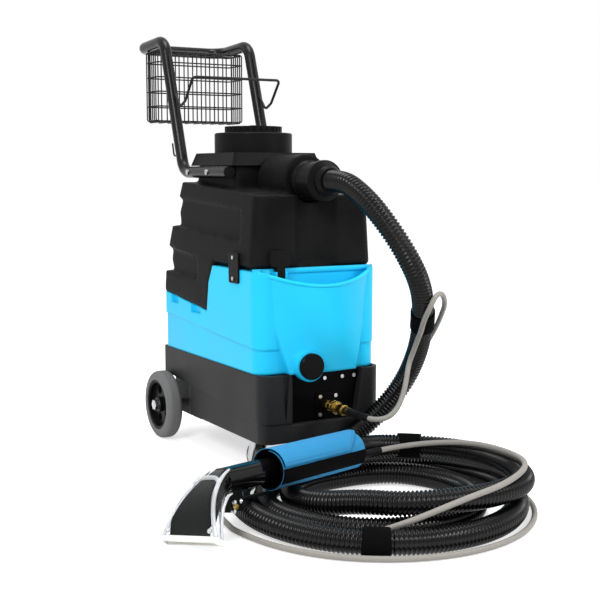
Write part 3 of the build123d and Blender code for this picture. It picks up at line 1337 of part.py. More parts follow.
def hose_wraps():
    bands = []
    drop = drop_path()
    coil = coil_path()
    for path, share in ((drop, 0.405), (coil, 0.116), (coil, 0.963)):
        plane = Plane(path.position_at(share), x_dir=(0.5, 0.6, 0.6), z_dir=path.tangent_at(share))
        inner = HOSE_RADIUS + HOSE_WRAP_SLACK
        band = extrude(Circle(inner + HOSE_WRAP_THICK) - Circle(inner), HOSE_WRAP_WIDTH / 2, both=True)
        bands.append(plane * band - block(-1e3, 1e3, -1e3, 1e3, -100, 0))
    return bands


def tool_rod(start, end, radius, side=0.0, lift=0.0):
    return rod((start, side, lift), (end, side, lift), radius)


def hand_wrap():
    shift = WRAP_INNER - TOOL_TUBE - FACE_GAP
    sleeve = tool_rod(0, WRAP_LENGTH, WRAP_INNER + WRAP_THICK, shift) - tool_rod(0, WRAP_LENGTH, WRAP_INNER, shift)
    return TOOL_PLANE * sleeve


def tool_tube():
    tube = tool_rod(0, TOOL_TUBE_LENGTH, TOOL_TUBE)
    return TOOL_PLANE * (tube - tool_rod(0, TOOL_TUBE_LENGTH, TOOL_TUBE - TOOL_TUBE_WALL))


def head_section(along, drop, tilt, width, thick):
    plane = Plane((along, 0, drop), x_dir=(0, 1, 0), z_dir=(math.cos(tilt), 0, -math.sin(tilt)))
    return plane * RectangleRounded(width, thick, min(width, thick) * 0.3)


def head_slope():
    return math.atan2(HEAD_LIP_DROP + TOOL_TUBE, HEAD_LIP_LENGTH - HEAD_TOP_LENGTH)


def head_shell(inset):
    slope = head_slope()
    trim = 2 * inset
    bore = 2 * TOOL_TUBE - trim
    return loft([
        head_section(TOOL_TUBE_LENGTH, 0, 0, bore, bore),
        head_section(HEAD_TOP_LENGTH, -TOOL_TUBE / 3, slope / 2, bore + 10, bore - 8),
        head_section(HEAD_LIP_LENGTH, -HEAD_LIP_DROP, slope, HEAD_LIP_WIDTH - trim, HEAD_LIP_THICK - trim),
    ])


def tool_head():
    return TOOL_PLANE * (head_shell(0) - head_shell(HEAD_WALL))


def lip_plane():
    slope = head_slope()
    return Plane((HEAD_LIP_LENGTH, 0, -HEAD_LIP_DROP), x_dir=(0, 1, 0), z_dir=(math.cos(slope), 0, -math.sin(slope)))


def tool_lip():
    width = HEAD_LIP_WIDTH + 2 * LIP_MARGIN
    thick = HEAD_LIP_THICK + 2 * LIP_MARGIN
    bar = extrude(RectangleRounded(width, thick, LIP_MARGIN), LIP_HEIGHT)
    slot = extrude(Rectangle(width - 4 * HEAD_WALL, HEAD_LIP_THICK - 2 * HEAD_WALL), LIP_HEIGHT)
    return TOOL_PLANE * (lip_plane() * (bar - slot))


def tool_insert():
    # A plate that lines the front wall of the clear head and widens toward the lip
    inner = HEAD_WALL + FACE_GAP
    liner = head_shell(inner) - head_shell(inner + INSERT_THICK)
    start = TOOL_TUBE_LENGTH + INSERT_SETBACK
    reach = 4 * TOOL_TUBE
    wide = HEAD_LIP_LENGTH - start
    taper = Polyline((start, -INSERT_TOP / 2), (start + wide, -INSERT_FOOT / 2), (start + 2 * wide, -INSERT_FOOT / 2),
                     (start + 2 * wide, INSERT_FOOT / 2), (start + wide, INSERT_FOOT / 2), (start, INSERT_TOP / 2),
                     close=True)
    plan = Pos(0, 0, -HEAD_LIP_DROP - reach) * extrude(make_face(taper), HEAD_LIP_DROP + 2 * reach)
    slope = head_slope()
    middle = [(start, 0), (HEAD_TOP_LENGTH, -TOOL_TUBE / 3), (HEAD_LIP_LENGTH, -HEAD_LIP_DROP),
              (HEAD_LIP_LENGTH + reach * math.sin(slope), -HEAD_LIP_DROP + reach * math.cos(slope)),
              (start, reach)]
    outline = Polyline(*[(y, -reach, z) for y, z in middle], close=True)
    front = extrude(make_face(outline), 2 * reach, dir=(0, 1, 0))
    return TOOL_PLANE * (liner & plan & front)


def tool_valve():
    valve = block(VALVE_REAR, VALVE_REAR + VALVE_LENGTH, -VALVE_HALF, VALVE_HALF, VALVE_LOW, 0)
    valve -= tool_rod(VALVE_REAR, VALVE_REAR + VALVE_LENGTH, TOOL_TUBE)
    slot = TRIGGER_HALF + VALVE_SLOT_GAP
    valve -= block(VALVE_REAR, TRIGGER_PIVOT + 2 * TRIGGER_THICK, -slot, slot, VALVE_LOW,
                   TRIGGER_DROP + 2 * TRIGGER_THICK)
    pin = rod((TRIGGER_PIVOT, -VALVE_HALF, TRIGGER_DROP), (TRIGGER_PIVOT, VALVE_HALF, TRIGGER_DROP), TRIGGER_PIN)
    return TOOL_PLANE * (valve + pin)


def tool_trigger():
    thick = TRIGGER_THICK / 2
    lever = block(TRIGGER_TAIL, TRIGGER_PIVOT, -TRIGGER_HALF, TRIGGER_HALF, TRIGGER_DROP - thick, TRIGGER_DROP + thick)
    lever += rod((TRIGGER_PIVOT, -TRIGGER_HALF, TRIGGER_DROP), (TRIGGER_PIVOT, TRIGGER_HALF, TRIGGER_DROP),
                 TRIGGER_THICK)
    lever -= rod((TRIGGER_PIVOT, -TRIGGER_HALF, TRIGGER_DROP), (TRIGGER_PIVOT, TRIGGER_HALF, TRIGGER_DROP),
                 TRIGGER_PIN + RUNNING)
    return TOOL_PLANE * lever


def assemble():
    upright = (0, 0, 1)
    level = (1, 1, 0)
    parts = {
        "base_housing": base_housing(),
        "front_panel": drill_screws(front_panel(), panel_screws()),
        "panel_screws": panel_screws(),
        "quick_connect_plate": drill_screws(quick_connect_plate(), panel_screws()),
        "quick_connect_socket": quick_connect_socket(),
        "quick_connect_collar": quick_connect_collar(),
        "quick_connect_plug": quick_connect_plug(),
        "line_boot": line_boot(),
        "wheel_axle": wheel_axle(),
        "left_wheel_tyre": wheel_tyre(-1),
        "right_wheel_tyre": wheel_tyre(1),
        "left_wheel_hub": wheel_hub(-1),
        "right_wheel_hub": wheel_hub(1),
        "axle_nuts": axle_nuts(),
        "caster_plates": caster_plates(),
        "left_caster_fork": caster_fork(-1),
        "right_caster_fork": caster_fork(1),
        "left_caster_wheel": caster_wheel(-1),
        "right_caster_wheel": caster_wheel(1),
        "left_caster_axle": caster_axle(-1),
        "right_caster_axle": caster_axle(1),
        "solution_tank": solution_tank(),
        "drain_cap": drain_cap(),
        "recovery_tank": recovery_tank(),
        "tie_straps": drilled_straps(),
        "strap_screws": strap_screws(),
        "latch_strap": latch_strap(),
        "hose_cuff": hose_cuff(),
        "vacuum_cover": vacuum_cover(),
        "lid_gasket": lid_gasket(),
        "access_lid": access_lid(),
        "standpipe": standpipe(),
        "float_cage": float_cage(),
        "float_ball": float_ball(),
        "vacuum_motor": vacuum_motor(),
        "solution_pump": solution_pump(),
        "heater": heater(),
        "handle_frame": handle_frame(),
        "handle_plugs": handle_plugs(),
        "handle_bolts": handle_bolts(),
        "wire_basket": wire_basket(),
        "hose_rack": hose_rack(),
        "cord_hooks": cord_hooks(),
        "switch_panel": switch_panel(),
        "vacuum_rocker": rocker(0),
        "pump_rocker": rocker(1),
        "heater_rocker": rocker(2),
        "cord_inlet": cord_inlet(),
        "hose_drop": ribbed_tube(drop_path(), DROP_RIBS, level),
        "hose_coil": ribbed_tube(coil_path(), COIL_RIBS, upright),
        "line_drop": round_sweep(line_drop_path(), LINE_RADIUS),
        "line_coil": round_sweep(line_coil_path(), LINE_RADIUS),
        "hose_wraps": hose_wraps(),
        "hand_wrap": hand_wrap(),
        "tool_tube": tool_tube(),
        "tool_head": tool_head(),
        "tool_insert": tool_insert(),
        "tool_lip": tool_lip(),
        "tool_valve": tool_valve(),
        "tool_trigger": tool_trigger(),
    }
    return parts


def main():
    os.makedirs("parts", exist_ok=True)
    report_gaps()
    for name, shape in assemble().items():
        solid = Compound(children=shape) if isinstance(shape, list) else shape
        export_step(solid, f"parts/{name}.step")


main()
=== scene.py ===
import json
import math

import bmesh
import bpy
import numpy as np
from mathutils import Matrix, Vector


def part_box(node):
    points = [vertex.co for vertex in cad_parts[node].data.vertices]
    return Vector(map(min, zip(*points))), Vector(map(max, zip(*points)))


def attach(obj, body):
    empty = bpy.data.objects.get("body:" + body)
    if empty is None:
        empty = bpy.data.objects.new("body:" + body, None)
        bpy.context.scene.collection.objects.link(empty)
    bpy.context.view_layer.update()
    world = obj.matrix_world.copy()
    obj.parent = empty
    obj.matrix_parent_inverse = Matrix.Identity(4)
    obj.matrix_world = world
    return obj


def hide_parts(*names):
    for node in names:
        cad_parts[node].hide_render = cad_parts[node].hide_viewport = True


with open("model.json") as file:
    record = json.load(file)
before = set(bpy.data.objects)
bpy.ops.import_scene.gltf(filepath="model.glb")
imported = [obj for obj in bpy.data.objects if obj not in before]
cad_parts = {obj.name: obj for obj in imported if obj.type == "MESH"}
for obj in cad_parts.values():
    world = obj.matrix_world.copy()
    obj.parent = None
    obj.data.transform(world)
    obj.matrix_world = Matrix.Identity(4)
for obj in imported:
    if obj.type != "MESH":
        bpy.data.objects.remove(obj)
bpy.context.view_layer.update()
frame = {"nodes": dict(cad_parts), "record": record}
nodes = frame["nodes"]
scene = bpy.context.scene
mm = 0.001
machine = "machine"
print("frame loaded:", len(nodes), "nodes")

# Camera at the photograph's place: millimetres, degrees, pixels, and the far clip in metres
shot = {
    "place": (-1133.2, -2233.7, 601.0),
    "heading": -29.6,
    "pitch": 6.5,
    "focal": 1128.9,
    "picture": 600,
    "sensor": 36.0,
    "far": 100.0,
}


def addCamera(s):
    data = bpy.data.cameras.new("photoCamera")
    data.sensor_width = s["sensor"]
    data.lens = s["sensor"] * s["focal"] / s["picture"]
    data.clip_end = s["far"]
    camera = bpy.data.objects.new("photoCamera", data)
    camera.location = np.array(s["place"]) * mm
    camera.rotation_euler = (math.radians(90 - s["pitch"]), 0, math.radians(s["heading"]))
    scene.collection.objects.link(camera)
    scene.camera = camera


addCamera(shot)
scene.view_settings.view_transform = "Standard"


# Node helpers: a value that is a socket is linked, anything else is set
def addNode(tree, kind, values=None, **settings):
    made = tree.nodes.new("ShaderNode" + kind)
    for key, value in settings.items():
        setattr(made, key, value)
    for key, value in (values or {}).items():
        if isinstance(value, bpy.types.NodeSocket):
            tree.links.new(value, made.inputs[key])
        else:
            made.inputs[key].default_value = value
    return made


def maths(tree, operation, a, b=0.0):
    return addNode(tree, "Math", {0: a, 1: b}, operation=operation).outputs[0]


def blendColour(tree, share, a, b):
    mix = addNode(tree, "Mix", data_type="RGBA")
    for key, value in ((0, share), (6, a), (7, b)):
        if isinstance(value, bpy.types.NodeSocket):
            tree.links.new(value, mix.inputs[key])
        else:
            mix.inputs[key].default_value = value
    return mix.outputs[2]


def remap(tree, value, low, high, toLow, toHigh):
    names = ("Value", "From Min", "From Max", "To Min", "To Max")
    return addNode(tree, "MapRange", dict(zip(names, (value, low, high, toLow, toHigh)))).outputs[0]


def newGroup(name, inputs, outputs):
    tree = bpy.data.node_groups.new(name, "ShaderNodeTree")
    for label, value in inputs.items():
        socket = tree.interface.new_socket(label, in_out="INPUT", socket_type="NodeSocketFloat")
        socket.default_value = value
    for label in outputs:
        tree.interface.new_socket(label, in_out="OUTPUT", socket_type="NodeSocketFloat")
    entry = tree.nodes.new("NodeGroupInput")
    leave = tree.nodes.new("NodeGroupOutput")
    return tree, entry.outputs, leave.inputs


def useGroup(tree, group, **values):
    made = tree.nodes.new("ShaderNodeGroup")
    made.node_tree = group
    for key, value in values.items():
        made.inputs[key].default_value = value
    return made.outputs


# What the shared patterns keep of a noise, from low to high, and their sizes in features for each metre
pattern = {
    "patchRange": (0.3, 0.7),
    "speck": 60.0,
    "speckRange": (0.4, 0.75),
    "dustTurn": (0.55, 1.0),
    "lineStretch": (0.02, 1.0, 0.02),
    "stainRange": (0.35, 0.7),
    "fuzz": 1500.0,
    "fuzzRange": (0.3, 0.7),
}


# Moulded surface: fine grain, slow patches of tone, and dust that settles on faces turned up
def makeMouldedGroup():
    tree, given, out = newGroup("mouldedSurface", {"Grain": 900.0, "Patch": 9.0},
                                ("Height", "Patches", "Dust"))
    place = addNode(tree, "TexCoord").outputs["Object"]
    grain = addNode(tree, "TexNoise", {"Vector": place, "Scale": given["Grain"], "Detail": 2.0}).outputs[0]
    patch = addNode(tree, "TexNoise", {"Vector": place, "Scale": given["Patch"], "Detail": 4.0}).outputs[0]
    speck = addNode(tree, "TexNoise", {"Vector": place, "Scale": pattern["speck"], "Detail": 5.0}).outputs[0]
    upward = addNode(tree, "SeparateXYZ", {0: addNode(tree, "NewGeometry").outputs["Normal"]}).outputs["Z"]
    facing = remap(tree, upward, *pattern["dustTurn"], 0.0, 1.0)
    specks = remap(tree, speck, *pattern["speckRange"], 0.0, 1.0)
    tree.links.new(grain, out["Height"])
    tree.links.new(remap(tree, patch, *pattern["patchRange"], 0.0, 1.0), out["Patches"])
    tree.links.new(maths(tree, "MULTIPLY", facing, specks), out["Dust"])
    return tree


# Turned or drawn metal: lines across the axis and slow stains
def makeTurnedGroup():
    tree, given, out = newGroup("turnedMetal", {"Lines": 2500.0, "Stain": 60.0}, ("Height", "Stains"))
    place = addNode(tree, "TexCoord").outputs["Object"]
    spread = addNode(tree, "Mapping", {"Vector": place, "Scale": pattern["lineStretch"]}).outputs[0]
    lines = addNode(tree, "TexNoise", {"Vector": spread, "Scale": given["Lines"], "Detail": 2.0}).outputs[0]
    stain = addNode(tree, "TexNoise", {"Vector": place, "Scale": given["Stain"], "Detail": 4.0}).outputs[0]
    tree.links.new(lines, out["Height"])
    tree.links.new(remap(tree, stain, *pattern["stainRange"], 0.0, 1.0), out["Stains"])
    return tree


# Crossed threads on the piece's own map, in threads for each metre of cloth
def makeWeaveGroup():
    tree, given, out = newGroup("crossedThreads", {"Across": 700.0, "Along": 700.0, "Lean": 0.0},
                                ("Height", "Fuzz"))
    place = addNode(tree, "SeparateXYZ", {0: addNode(tree, "UVMap").outputs[0]}).outputs
    leaning = maths(tree, "MULTIPLY", place["Y"], given["Lean"])
    across = maths(tree, "MULTIPLY", maths(tree, "ADD", place["X"], leaning), given["Across"])
    falling = maths(tree, "MULTIPLY", place["X"], given["Lean"])
    along = maths(tree, "MULTIPLY", maths(tree, "SUBTRACT", place["Y"], falling), given["Along"])
    waveA = maths(tree, "ABSOLUTE", maths(tree, "SINE", maths(tree, "MULTIPLY", across, math.pi)))
    waveB = maths(tree, "ABSOLUTE", maths(tree, "SINE", maths(tree, "MULTIPLY", along, math.pi)))
    spot = addNode(tree, "TexCoord").outputs["Object"]
    fuzz = addNode(tree, "TexNoise", {"Vector": spot, "Scale": pattern["fuzz"], "Detail": 3.0}).outputs[0]
    tree.links.new(maths(tree, "MULTIPLY", waveA, waveB), out["Height"])
    tree.links.new(fuzz, out["Fuzz"])
    return tree


moulded = makeMouldedGroup()
turned = makeTurnedGroup()
threads = makeWeaveGroup()


def newMaterial(name):
    material = bpy.data.materials.new(name)
    material.use_nodes = True
    tree = material.node_tree
    return material, tree, tree.nodes["Principled BSDF"]


def shade(colour, factor):
    return tuple(min(c * factor, 1.0) for c in colour) + (1.0,)


def bumpNormal(tree, shader, height, depth, strength=1.0, edge=0.0):
    bump = addNode(tree, "Bump", {"Height": height, "Distance": depth, "Strength": strength})
    if edge:
        rounded = addNode(tree, "Bevel", {"Radius": edge}, samples=6)
        tree.links.new(rounded.outputs[0], bump.inputs["Normal"])
    tree.links.new(bump.outputs[0], shader.inputs["Normal"])


# Values that every finish of a kind shares: how far roughness swings, and how dust greys a colour
shared = {
    "swing": 0.06,
    "dustKeeps": 0.6,
    "dustAdds": 0.12,
    "coatRough": 0.15,
    "grainStrength": 0.6,
    "metalSwing": (-0.05, 0.12),
    "metalStrength": 0.5,
    "metalEdge": 0.0004,
    "clearRough": (0.03, 0.1),
    "clearFade": 0.96,
    "clearGloss": 0.14,
    "clearBump": (0.0002, 0.3),
    "clothSwing": 0.08,
    "threadShare": 0.6,
}


# Grain and patch are in features for each metre, depth and edge in metres, the rest are shares
def plasticFinish(name, colour, rough=0.45, grain=900.0, depth=0.0002, spread=0.18, edge=0.0015,
                  dust=0.12, coat=0.0, patch=9.0, gloss=0.4):
    material, tree, shader = newMaterial(name)
    surface = useGroup(tree, moulded, Grain=grain, Patch=patch)
    tone = blendColour(tree, surface["Patches"], shade(colour, 1 - spread), shade(colour, 1 + spread))
    grey = tuple(shared["dustKeeps"] * c + shared["dustAdds"] for c in colour) + (1.0,)
    dusted = blendColour(tree, maths(tree, "MULTIPLY", surface["Dust"], dust), tone, grey)
    swing = shared["swing"]
    uneven = remap(tree, surface["Patches"], 0.0, 1.0, rough - swing, rough + swing)
    tree.links.new(dusted, shader.inputs["Base Color"])
    tree.links.new(uneven, shader.inputs["Roughness"])
    shader.inputs["Specular IOR Level"].default_value = gloss
    shader.inputs["Coat Weight"].default_value = coat
    shader.inputs["Coat Roughness"].default_value = shared["coatRough"]
    bumpNormal(tree, shader, surface["Height"], depth, shared["grainStrength"], edge)
    return material


def metalFinish(name, colour, rough=0.25, lines=2500.0, depth=0.00004, stain=60.0, spread=0.2):
    material, tree, shader = newMaterial(name)
    surface = useGroup(tree, turned, Lines=lines, Stain=stain)
    tone = blendColour(tree, surface["Stains"], shade(colour, 1 + spread / 3), shade(colour, 1 - spread))
    bright, dull = (rough + change for change in shared["metalSwing"])
    tree.links.new(tone, shader.inputs["Base Color"])
    tree.links.new(remap(tree, surface["Stains"], 0.0, 1.0, bright, dull), shader.inputs["Roughness"])
    shader.inputs["Metallic"].default_value = 1.0
    bumpNormal(tree, shader, surface["Height"], depth, shared["metalStrength"], shared["metalEdge"])
    return material


# Through is the share of light that passes, bend is the index of refraction
def clearFinish(name, colour, through, bend):
    material, tree, shader = newMaterial(name)
    surface = useGroup(tree, moulded, Grain=220.0, Patch=30.0)
    tone = blendColour(tree, surface["Patches"], shade(colour, 1.0), shade(colour, shared["clearFade"]))
    uneven = remap(tree, surface["Patches"], 0.0, 1.0, *shared["clearRough"])
    tree.links.new(tone, shader.inputs["Base Color"])
    tree.links.new(uneven, shader.inputs["Roughness"])
    shader.inputs["Transmission Weight"].default_value = through
    shader.inputs["IOR"].default_value = bend
    shader.inputs["Specular IOR Level"].default_value = shared["clearGloss"]
    bumpNormal(tree, shader, surface["Height"], *shared["clearBump"])
    return material


# Across and along are threads for each metre, lean is how far they run aslant
def clothFinish(name, colour, across, along, lean=0.0, depth=0.0003, rough=0.85, sheen=0.3, spread=0.25,
                gloss=0.3):
    material, tree, shader = newMaterial(name)
    cloth = useGroup(tree, threads, Across=across, Along=along, Lean=lean)
    # The cloth's tone follows the thread relief: painted shade between the threads and a painted highlight on
    # their crowns, mixed with random fuzz tone; spread sets how far it swings
    woven = maths(tree, "MULTIPLY", cloth["Height"], shared["threadShare"])
    reliefShadeAndFuzz = maths(tree, "ADD", woven, maths(tree, "MULTIPLY", cloth["Fuzz"], 1 - shared["threadShare"]))
    tone = blendColour(tree, reliefShadeAndFuzz, shade(colour, 1 - spread), shade(colour, 1 + spread))
    swing = shared["clothSwing"]
    uneven = remap(tree, cloth["Fuzz"], *pattern["fuzzRange"], rough - swing, rough + swing)
    tree.links.new(tone, shader.inputs["Base Color"])
    tree.links.new(uneven, shader.inputs["Roughness"])
    shader.inputs["Specular IOR Level"].default_value = gloss
    shader.inputs["Sheen Weight"].default_value = sheen
    shader.inputs["Sheen Roughness"].default_value = 0.5
    bumpNormal(tree, shader, reliefShadeAndFuzz, depth)
    return material


finishes = {
    "black_plastic": plasticFinish("satinBlack", (0.006, 0.006, 0.0064), 0.36, 700.0, 0.0002, gloss=0.05),
    "grained_black": plasticFinish("grainedBlack", (0.0085, 0.0085, 0.0083), 0.4, 420.0, 0.0016,
                                   spread=0.3, edge=0.004, gloss=0.025),
    "tank_blue": plasticFinish("tankBlue", (0.013, 0.60, 0.98), 0.36, 500.0, 0.0001, spread=0.05,
                               edge=0.007, dust=0.02, patch=5.0, gloss=0.2),
    "cap_black": plasticFinish("capBlack", (0.004, 0.004, 0.0045), 0.2, 300.0, 0.00005, spread=0.1,
                               dust=0.05, gloss=0.05),
    "tyre_grey": plasticFinish("tyreGrey", (0.15, 0.15, 0.147), 0.62, 600.0, 0.0002, spread=0.12,
                               edge=0.002, dust=0.2, gloss=0.2),
    "hub_black": plasticFinish("hubBlack", (0.005, 0.005, 0.0055), 0.36, 600.0, 0.0001, gloss=0.06),
    "bright_steel": metalFinish("brightSteel", (0.46, 0.46, 0.47), 0.26),
    "caster_grey": plasticFinish("casterGrey", (0.1, 0.1, 0.1), 0.6),
    "brass": metalFinish("turnedBrass", (0.50, 0.37, 0.12), 0.24),
    "boot_black": plasticFinish("bootBlack", (0.006, 0.006, 0.006), 0.5, 900.0, 0.0002, gloss=0.06),
    "panel_black": plasticFinish("panelBlack", (0.002, 0.002, 0.0023), 0.35, 1200.0, 0.0001, gloss=0.04),
    "frame_black": plasticFinish("tubeBlack", (0.005, 0.005, 0.0055), 0.26, 500.0, 0.00008, spread=0.15,
                                 edge=0.0005, dust=0.1, gloss=0.2),
    "wire_black": plasticFinish("wireBlack", (0.004, 0.004, 0.0045), 0.35, 900.0, 0.00008, spread=0.15,
                                edge=0.0, dust=0.08, gloss=0.2),
    "hose_black": plasticFinish("hoseBlack", (0.002, 0.002, 0.002), 0.2, 600.0, 0.00005, spread=0.2,
                                edge=0.0, dust=0.03, gloss=0.19),
    "line_grey": clothFinish("braidGrey", (0.29, 0.275, 0.25), 380.0, 380.0, lean=0.8, depth=0.0004,
                             rough=0.5, sheen=0.0, spread=0.4),
    "wrap_black": clothFinish("loopBlack", (0.003, 0.003, 0.0033), 900.0, 900.0, depth=0.0006, rough=0.9,
                              sheen=0.0, spread=0.3, gloss=0.04),
    "wrap_blue": clothFinish("wrapBlue", (0.03, 0.26, 0.52), 800.0, 800.0, sheen=0.06, gloss=0.1),
    "tube_black": plasticFinish("tubeGloss", (0.002, 0.002, 0.0023), 0.12, 200.0, 0.00003, spread=0.1,
                                edge=0.0008, dust=0.04, coat=0.03, gloss=0.2),
    "clear_plastic": clearFinish("clearHead", (0.93, 0.95, 0.97), 1.0, 1.15),
    "lip_white": plasticFinish("lipWhite", (0.86, 0.85, 0.79), 0.4, 500.0, 0.0001, spread=0.04,
                               edge=0.001, dust=0.04),
    "valve_black": plasticFinish("valveBlack", (0.004, 0.004, 0.004), 0.35, 700.0, 0.0001, gloss=0.06),
    "tube_steel": metalFinish("drawnSteel", (0.55, 0.55, 0.56), 0.3),
    "inner_grey": plasticFinish("innerGrey", (0.2, 0.21, 0.22), 0.5),
    "pipe_white": plasticFinish("pipeWhite", (0.65, 0.65, 0.62), 0.45),
    "gasket_rubber": plasticFinish("gasketRubber", (0.03, 0.03, 0.03), 0.8),
    "motor_metal": metalFinish("castMetal", (0.5, 0.5, 0.51), 0.4, 400.0, 0.0002),
}
# The tub is more scuffed than the mouldings above it
ownFinish = {
    "base_housing": plasticFinish("tubBlack", (0.013, 0.013, 0.0135), 0.5, 420.0, 0.0008, spread=0.2,
                                  edge=0.004, dust=0.2, gloss=0.16),
}


def wear(obj, material):
    obj.data.materials.clear()
    obj.data.materials.append(material)


for part in frame["record"]["subparts"]:
    wear(nodes[part["node"]], ownFinish.get(part["node"], finishes[part["material_slot"]]))
print("finishes:", len(finishes))


# Mesh helpers: a grid of points becomes quads; closed grids meet themselves without a seam
def gridQuads(rows, columns, closeRows=False, closeColumns=False):
    i = np.arange(rows if closeRows else rows - 1)
    j = np.arange(columns if closeColumns else columns - 1)
    i, j = np.meshgrid(i, j, indexing="ij")
    nextI = (i + 1) % rows
    nextJ = (j + 1) % columns
    quads = np.stack([i * columns + j, i * columns + nextJ, nextI * columns + nextJ, nextI * columns + j], -1)
    return quads.reshape(-1, 4), i.ravel(), j.ravel()


def joinParts(parts):
    points, faces, start = [], [], 0
    for partPoints, partFaces in parts:
        points.append(partPoints)
        faces += [[v + start for v in f] for f in partFaces]
        start += len(partPoints)
    return np.concatenate(points), faces


def addPiece(name, points, faces, slot, material=None, cornerUv=None, smooth=True):
    mesh = bpy.data.meshes.new(name)
    mesh.from_pydata(points.tolist(), [], faces)
    if cornerUv is not None:
        layer = mesh.uv_layers.new(name="UVMap")
        layer.data.foreach_set("uv", cornerUv.astype(np.float32).ravel())
    mesh.polygons.foreach_set("use_smooth", np.full(len(mesh.polygons), smooth))
    mesh.update()
    piece = bpy.data.objects.new(name, mesh)
    scene.collection.objects.link(piece)
    wear(piece, material or finishes[slot])
    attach(piece, machine)
    return piece


# Direction along a path, level direction to its side, and the third; a flat path gives its own side
def across(path, flat=None, closed=False):
    along = np.roll(path, -1, 0) - np.roll(path, 1, 0) if closed else np.gradient(path, axis=0)
    along /= np.linalg.norm(along, axis=1)[:, None]
    side = np.cross(along, (0.0, 0.0, 1.0)) if flat is None else np.tile(flat, (len(path), 1))
    side /= np.linalg.norm(side, axis=1)[:, None]
    return along, side, np.cross(side, along)


# The two faces that close a grid of rings at its ends
def endFaces(rows, sides):
    last = (rows - 1) * sides
    return [list(range(sides)), list(range(last + sides - 1, last - 1, -1))]


def circle(sides, side, upright):
    turn = np.linspace(0, 2 * math.pi, sides, endpoint=False)
    return np.cos(turn)[None, :, None] * side[:, None] + np.sin(turn)[None, :, None] * upright[:, None]


# A round section of changing radius carried along a path; both ends are closed
def tubeMesh(path, radii, sides):
    ring = circle(sides, *across(path)[1:])
    points = (path[:, None] + radii[:, None, None] * ring).reshape(-1, 3)
    quads, row, column = gridQuads(len(path), sides, closeColumns=True)
    faces = quads[:, ::-1].tolist() + endFaces(len(path), sides)
    steps = np.concatenate([[0], np.cumsum(np.linalg.norm(np.diff(path, axis=0), axis=1))])
    girth = 2 * math.pi * np.max(radii)
    u = np.stack([column, column + 1, column + 1, column], 1)[:, ::-1] / sides * girth
    v = steps[np.stack([row, row, row + 1, row + 1], 1)[:, ::-1]]
    uv = np.stack([u, v], -1).reshape(-1, 2)
    return points, faces, np.concatenate([uv, np.zeros((2 * sides, 2))])


# A wire that lies in one plane, given by its normal; an open wire has closed ends
def wireTube(path, radius, flat, closed=False, sides=8):
    ring = circle(sides, *across(path, np.array(flat, float), closed)[1:])
    faces = gridQuads(len(path), sides, closed, True)[0][:, ::-1].tolist()
    if not closed:
        faces += endFaces(len(path), sides)
    return (path[:, None] + radius * ring).reshape(-1, 3), faces


# Any direction that no turned piece has as its axis
askew = (0.31, 0.52, 0.8)


# A profile of radius and height turned about an axis, both ends closed
def turnedMesh(place, axis, profile, sides=20):
    side = np.cross(axis, askew)
    side /= np.linalg.norm(side)
    turn = np.linspace(0, 2 * math.pi, sides, endpoint=False)
    ring = np.cos(turn)[:, None] * side + np.sin(turn)[:, None] * np.cross(side, axis)
    radius, height = np.array(profile, float).T * mm
    points = place + height[:, None, None] * axis + radius[:, None, None] * ring[None]
    quads = gridQuads(len(profile), sides, closeColumns=True)[0][:, ::-1].tolist()
    return points.reshape(-1, 3), quads + endFaces(len(profile), sides)


def resample(path, steps):
    run = np.concatenate([[0], np.cumsum(np.linalg.norm(np.diff(path, axis=0), axis=1))])
    return np.stack([np.interp(steps, run, path[:, k]) for k in range(3)], 1)


def pathLength(path):
    return float(np.linalg.norm(np.diff(path, axis=0), axis=1).sum())


# The smooth line that a NURBS spline makes of a route's points
def smoothLine(name, points):
    curve = bpy.data.curves.new(name, "CURVE")
    curve.dimensions = "3D"
    curve.resolution_u = 14
    spline = curve.splines.new("NURBS")
    spline.points.add(len(points) - 1)
    spline.points.foreach_set("co", np.column_stack([points, np.ones(len(points))]).ravel())
    spline.order_u = 3
    spline.use_endpoint_u = True
    holder = bpy.data.objects.new(name, curve)
    scene.collection.objects.link(holder)
    mesh = bpy.data.meshes.new_from_object(holder)
    flat = np.zeros(len(mesh.vertices) * 3)
    mesh.vertices.foreach_get("co", flat)
    bpy.data.objects.remove(holder)
    bpy.data.meshes.remove(mesh)
    return flat.reshape(-1, 3)


# The hand tool's own axes: along the tube, to the side, and up
tool = {"tail": (-29.0, -468.3, 79.5), "heading": 202.0, "rise": 2.6, "roll": 10.0}


def toolAxes(t):
    heading, rise, roll = (math.radians(t[k]) for k in ("heading", "rise", "roll"))
    along = np.array([math.cos(heading) * math.cos(rise), math.sin(heading) * math.cos(rise), math.sin(rise)])
    level = np.array([-math.sin(heading), math.cos(heading), 0.0])
    square = np.cross(along, level)
    up = square * math.cos(roll) - level * math.sin(roll)
    return along, np.cross(up, along), up


toolAlong, toolSide, toolUp = toolAxes(tool)
toolTail = np.array(tool["tail"])


def onTool(u, s, v):
    shares = ((u, toolAlong), (s, toolSide), (v, toolUp))
    along, beside, over = (np.multiply.outer(share, axis) for share, axis in shares)
    return toolTail + along + beside + over


eighth = math.radians(45)


# Loose turns on the floor: radius and height at each eighth of a turn, two points for each eighth.
# The points stand a little outside, because the smooth line cuts their corners
def looseTurns(run):
    eighths = np.array(run["eighths"], float)
    spot = np.arange(0, len(eighths) - 0.75, 0.5)
    reach = np.interp(spot, np.arange(len(eighths)), eighths[:, 0]) / math.cos(eighth / 4)
    height = np.interp(spot, np.arange(len(eighths)), eighths[:, 1])
    angle = math.radians(run["start"]) + spot * eighth
    x, y = run["centre"]
    return np.stack([x + reach * np.cos(angle), y + reach * np.sin(angle), height], 1)


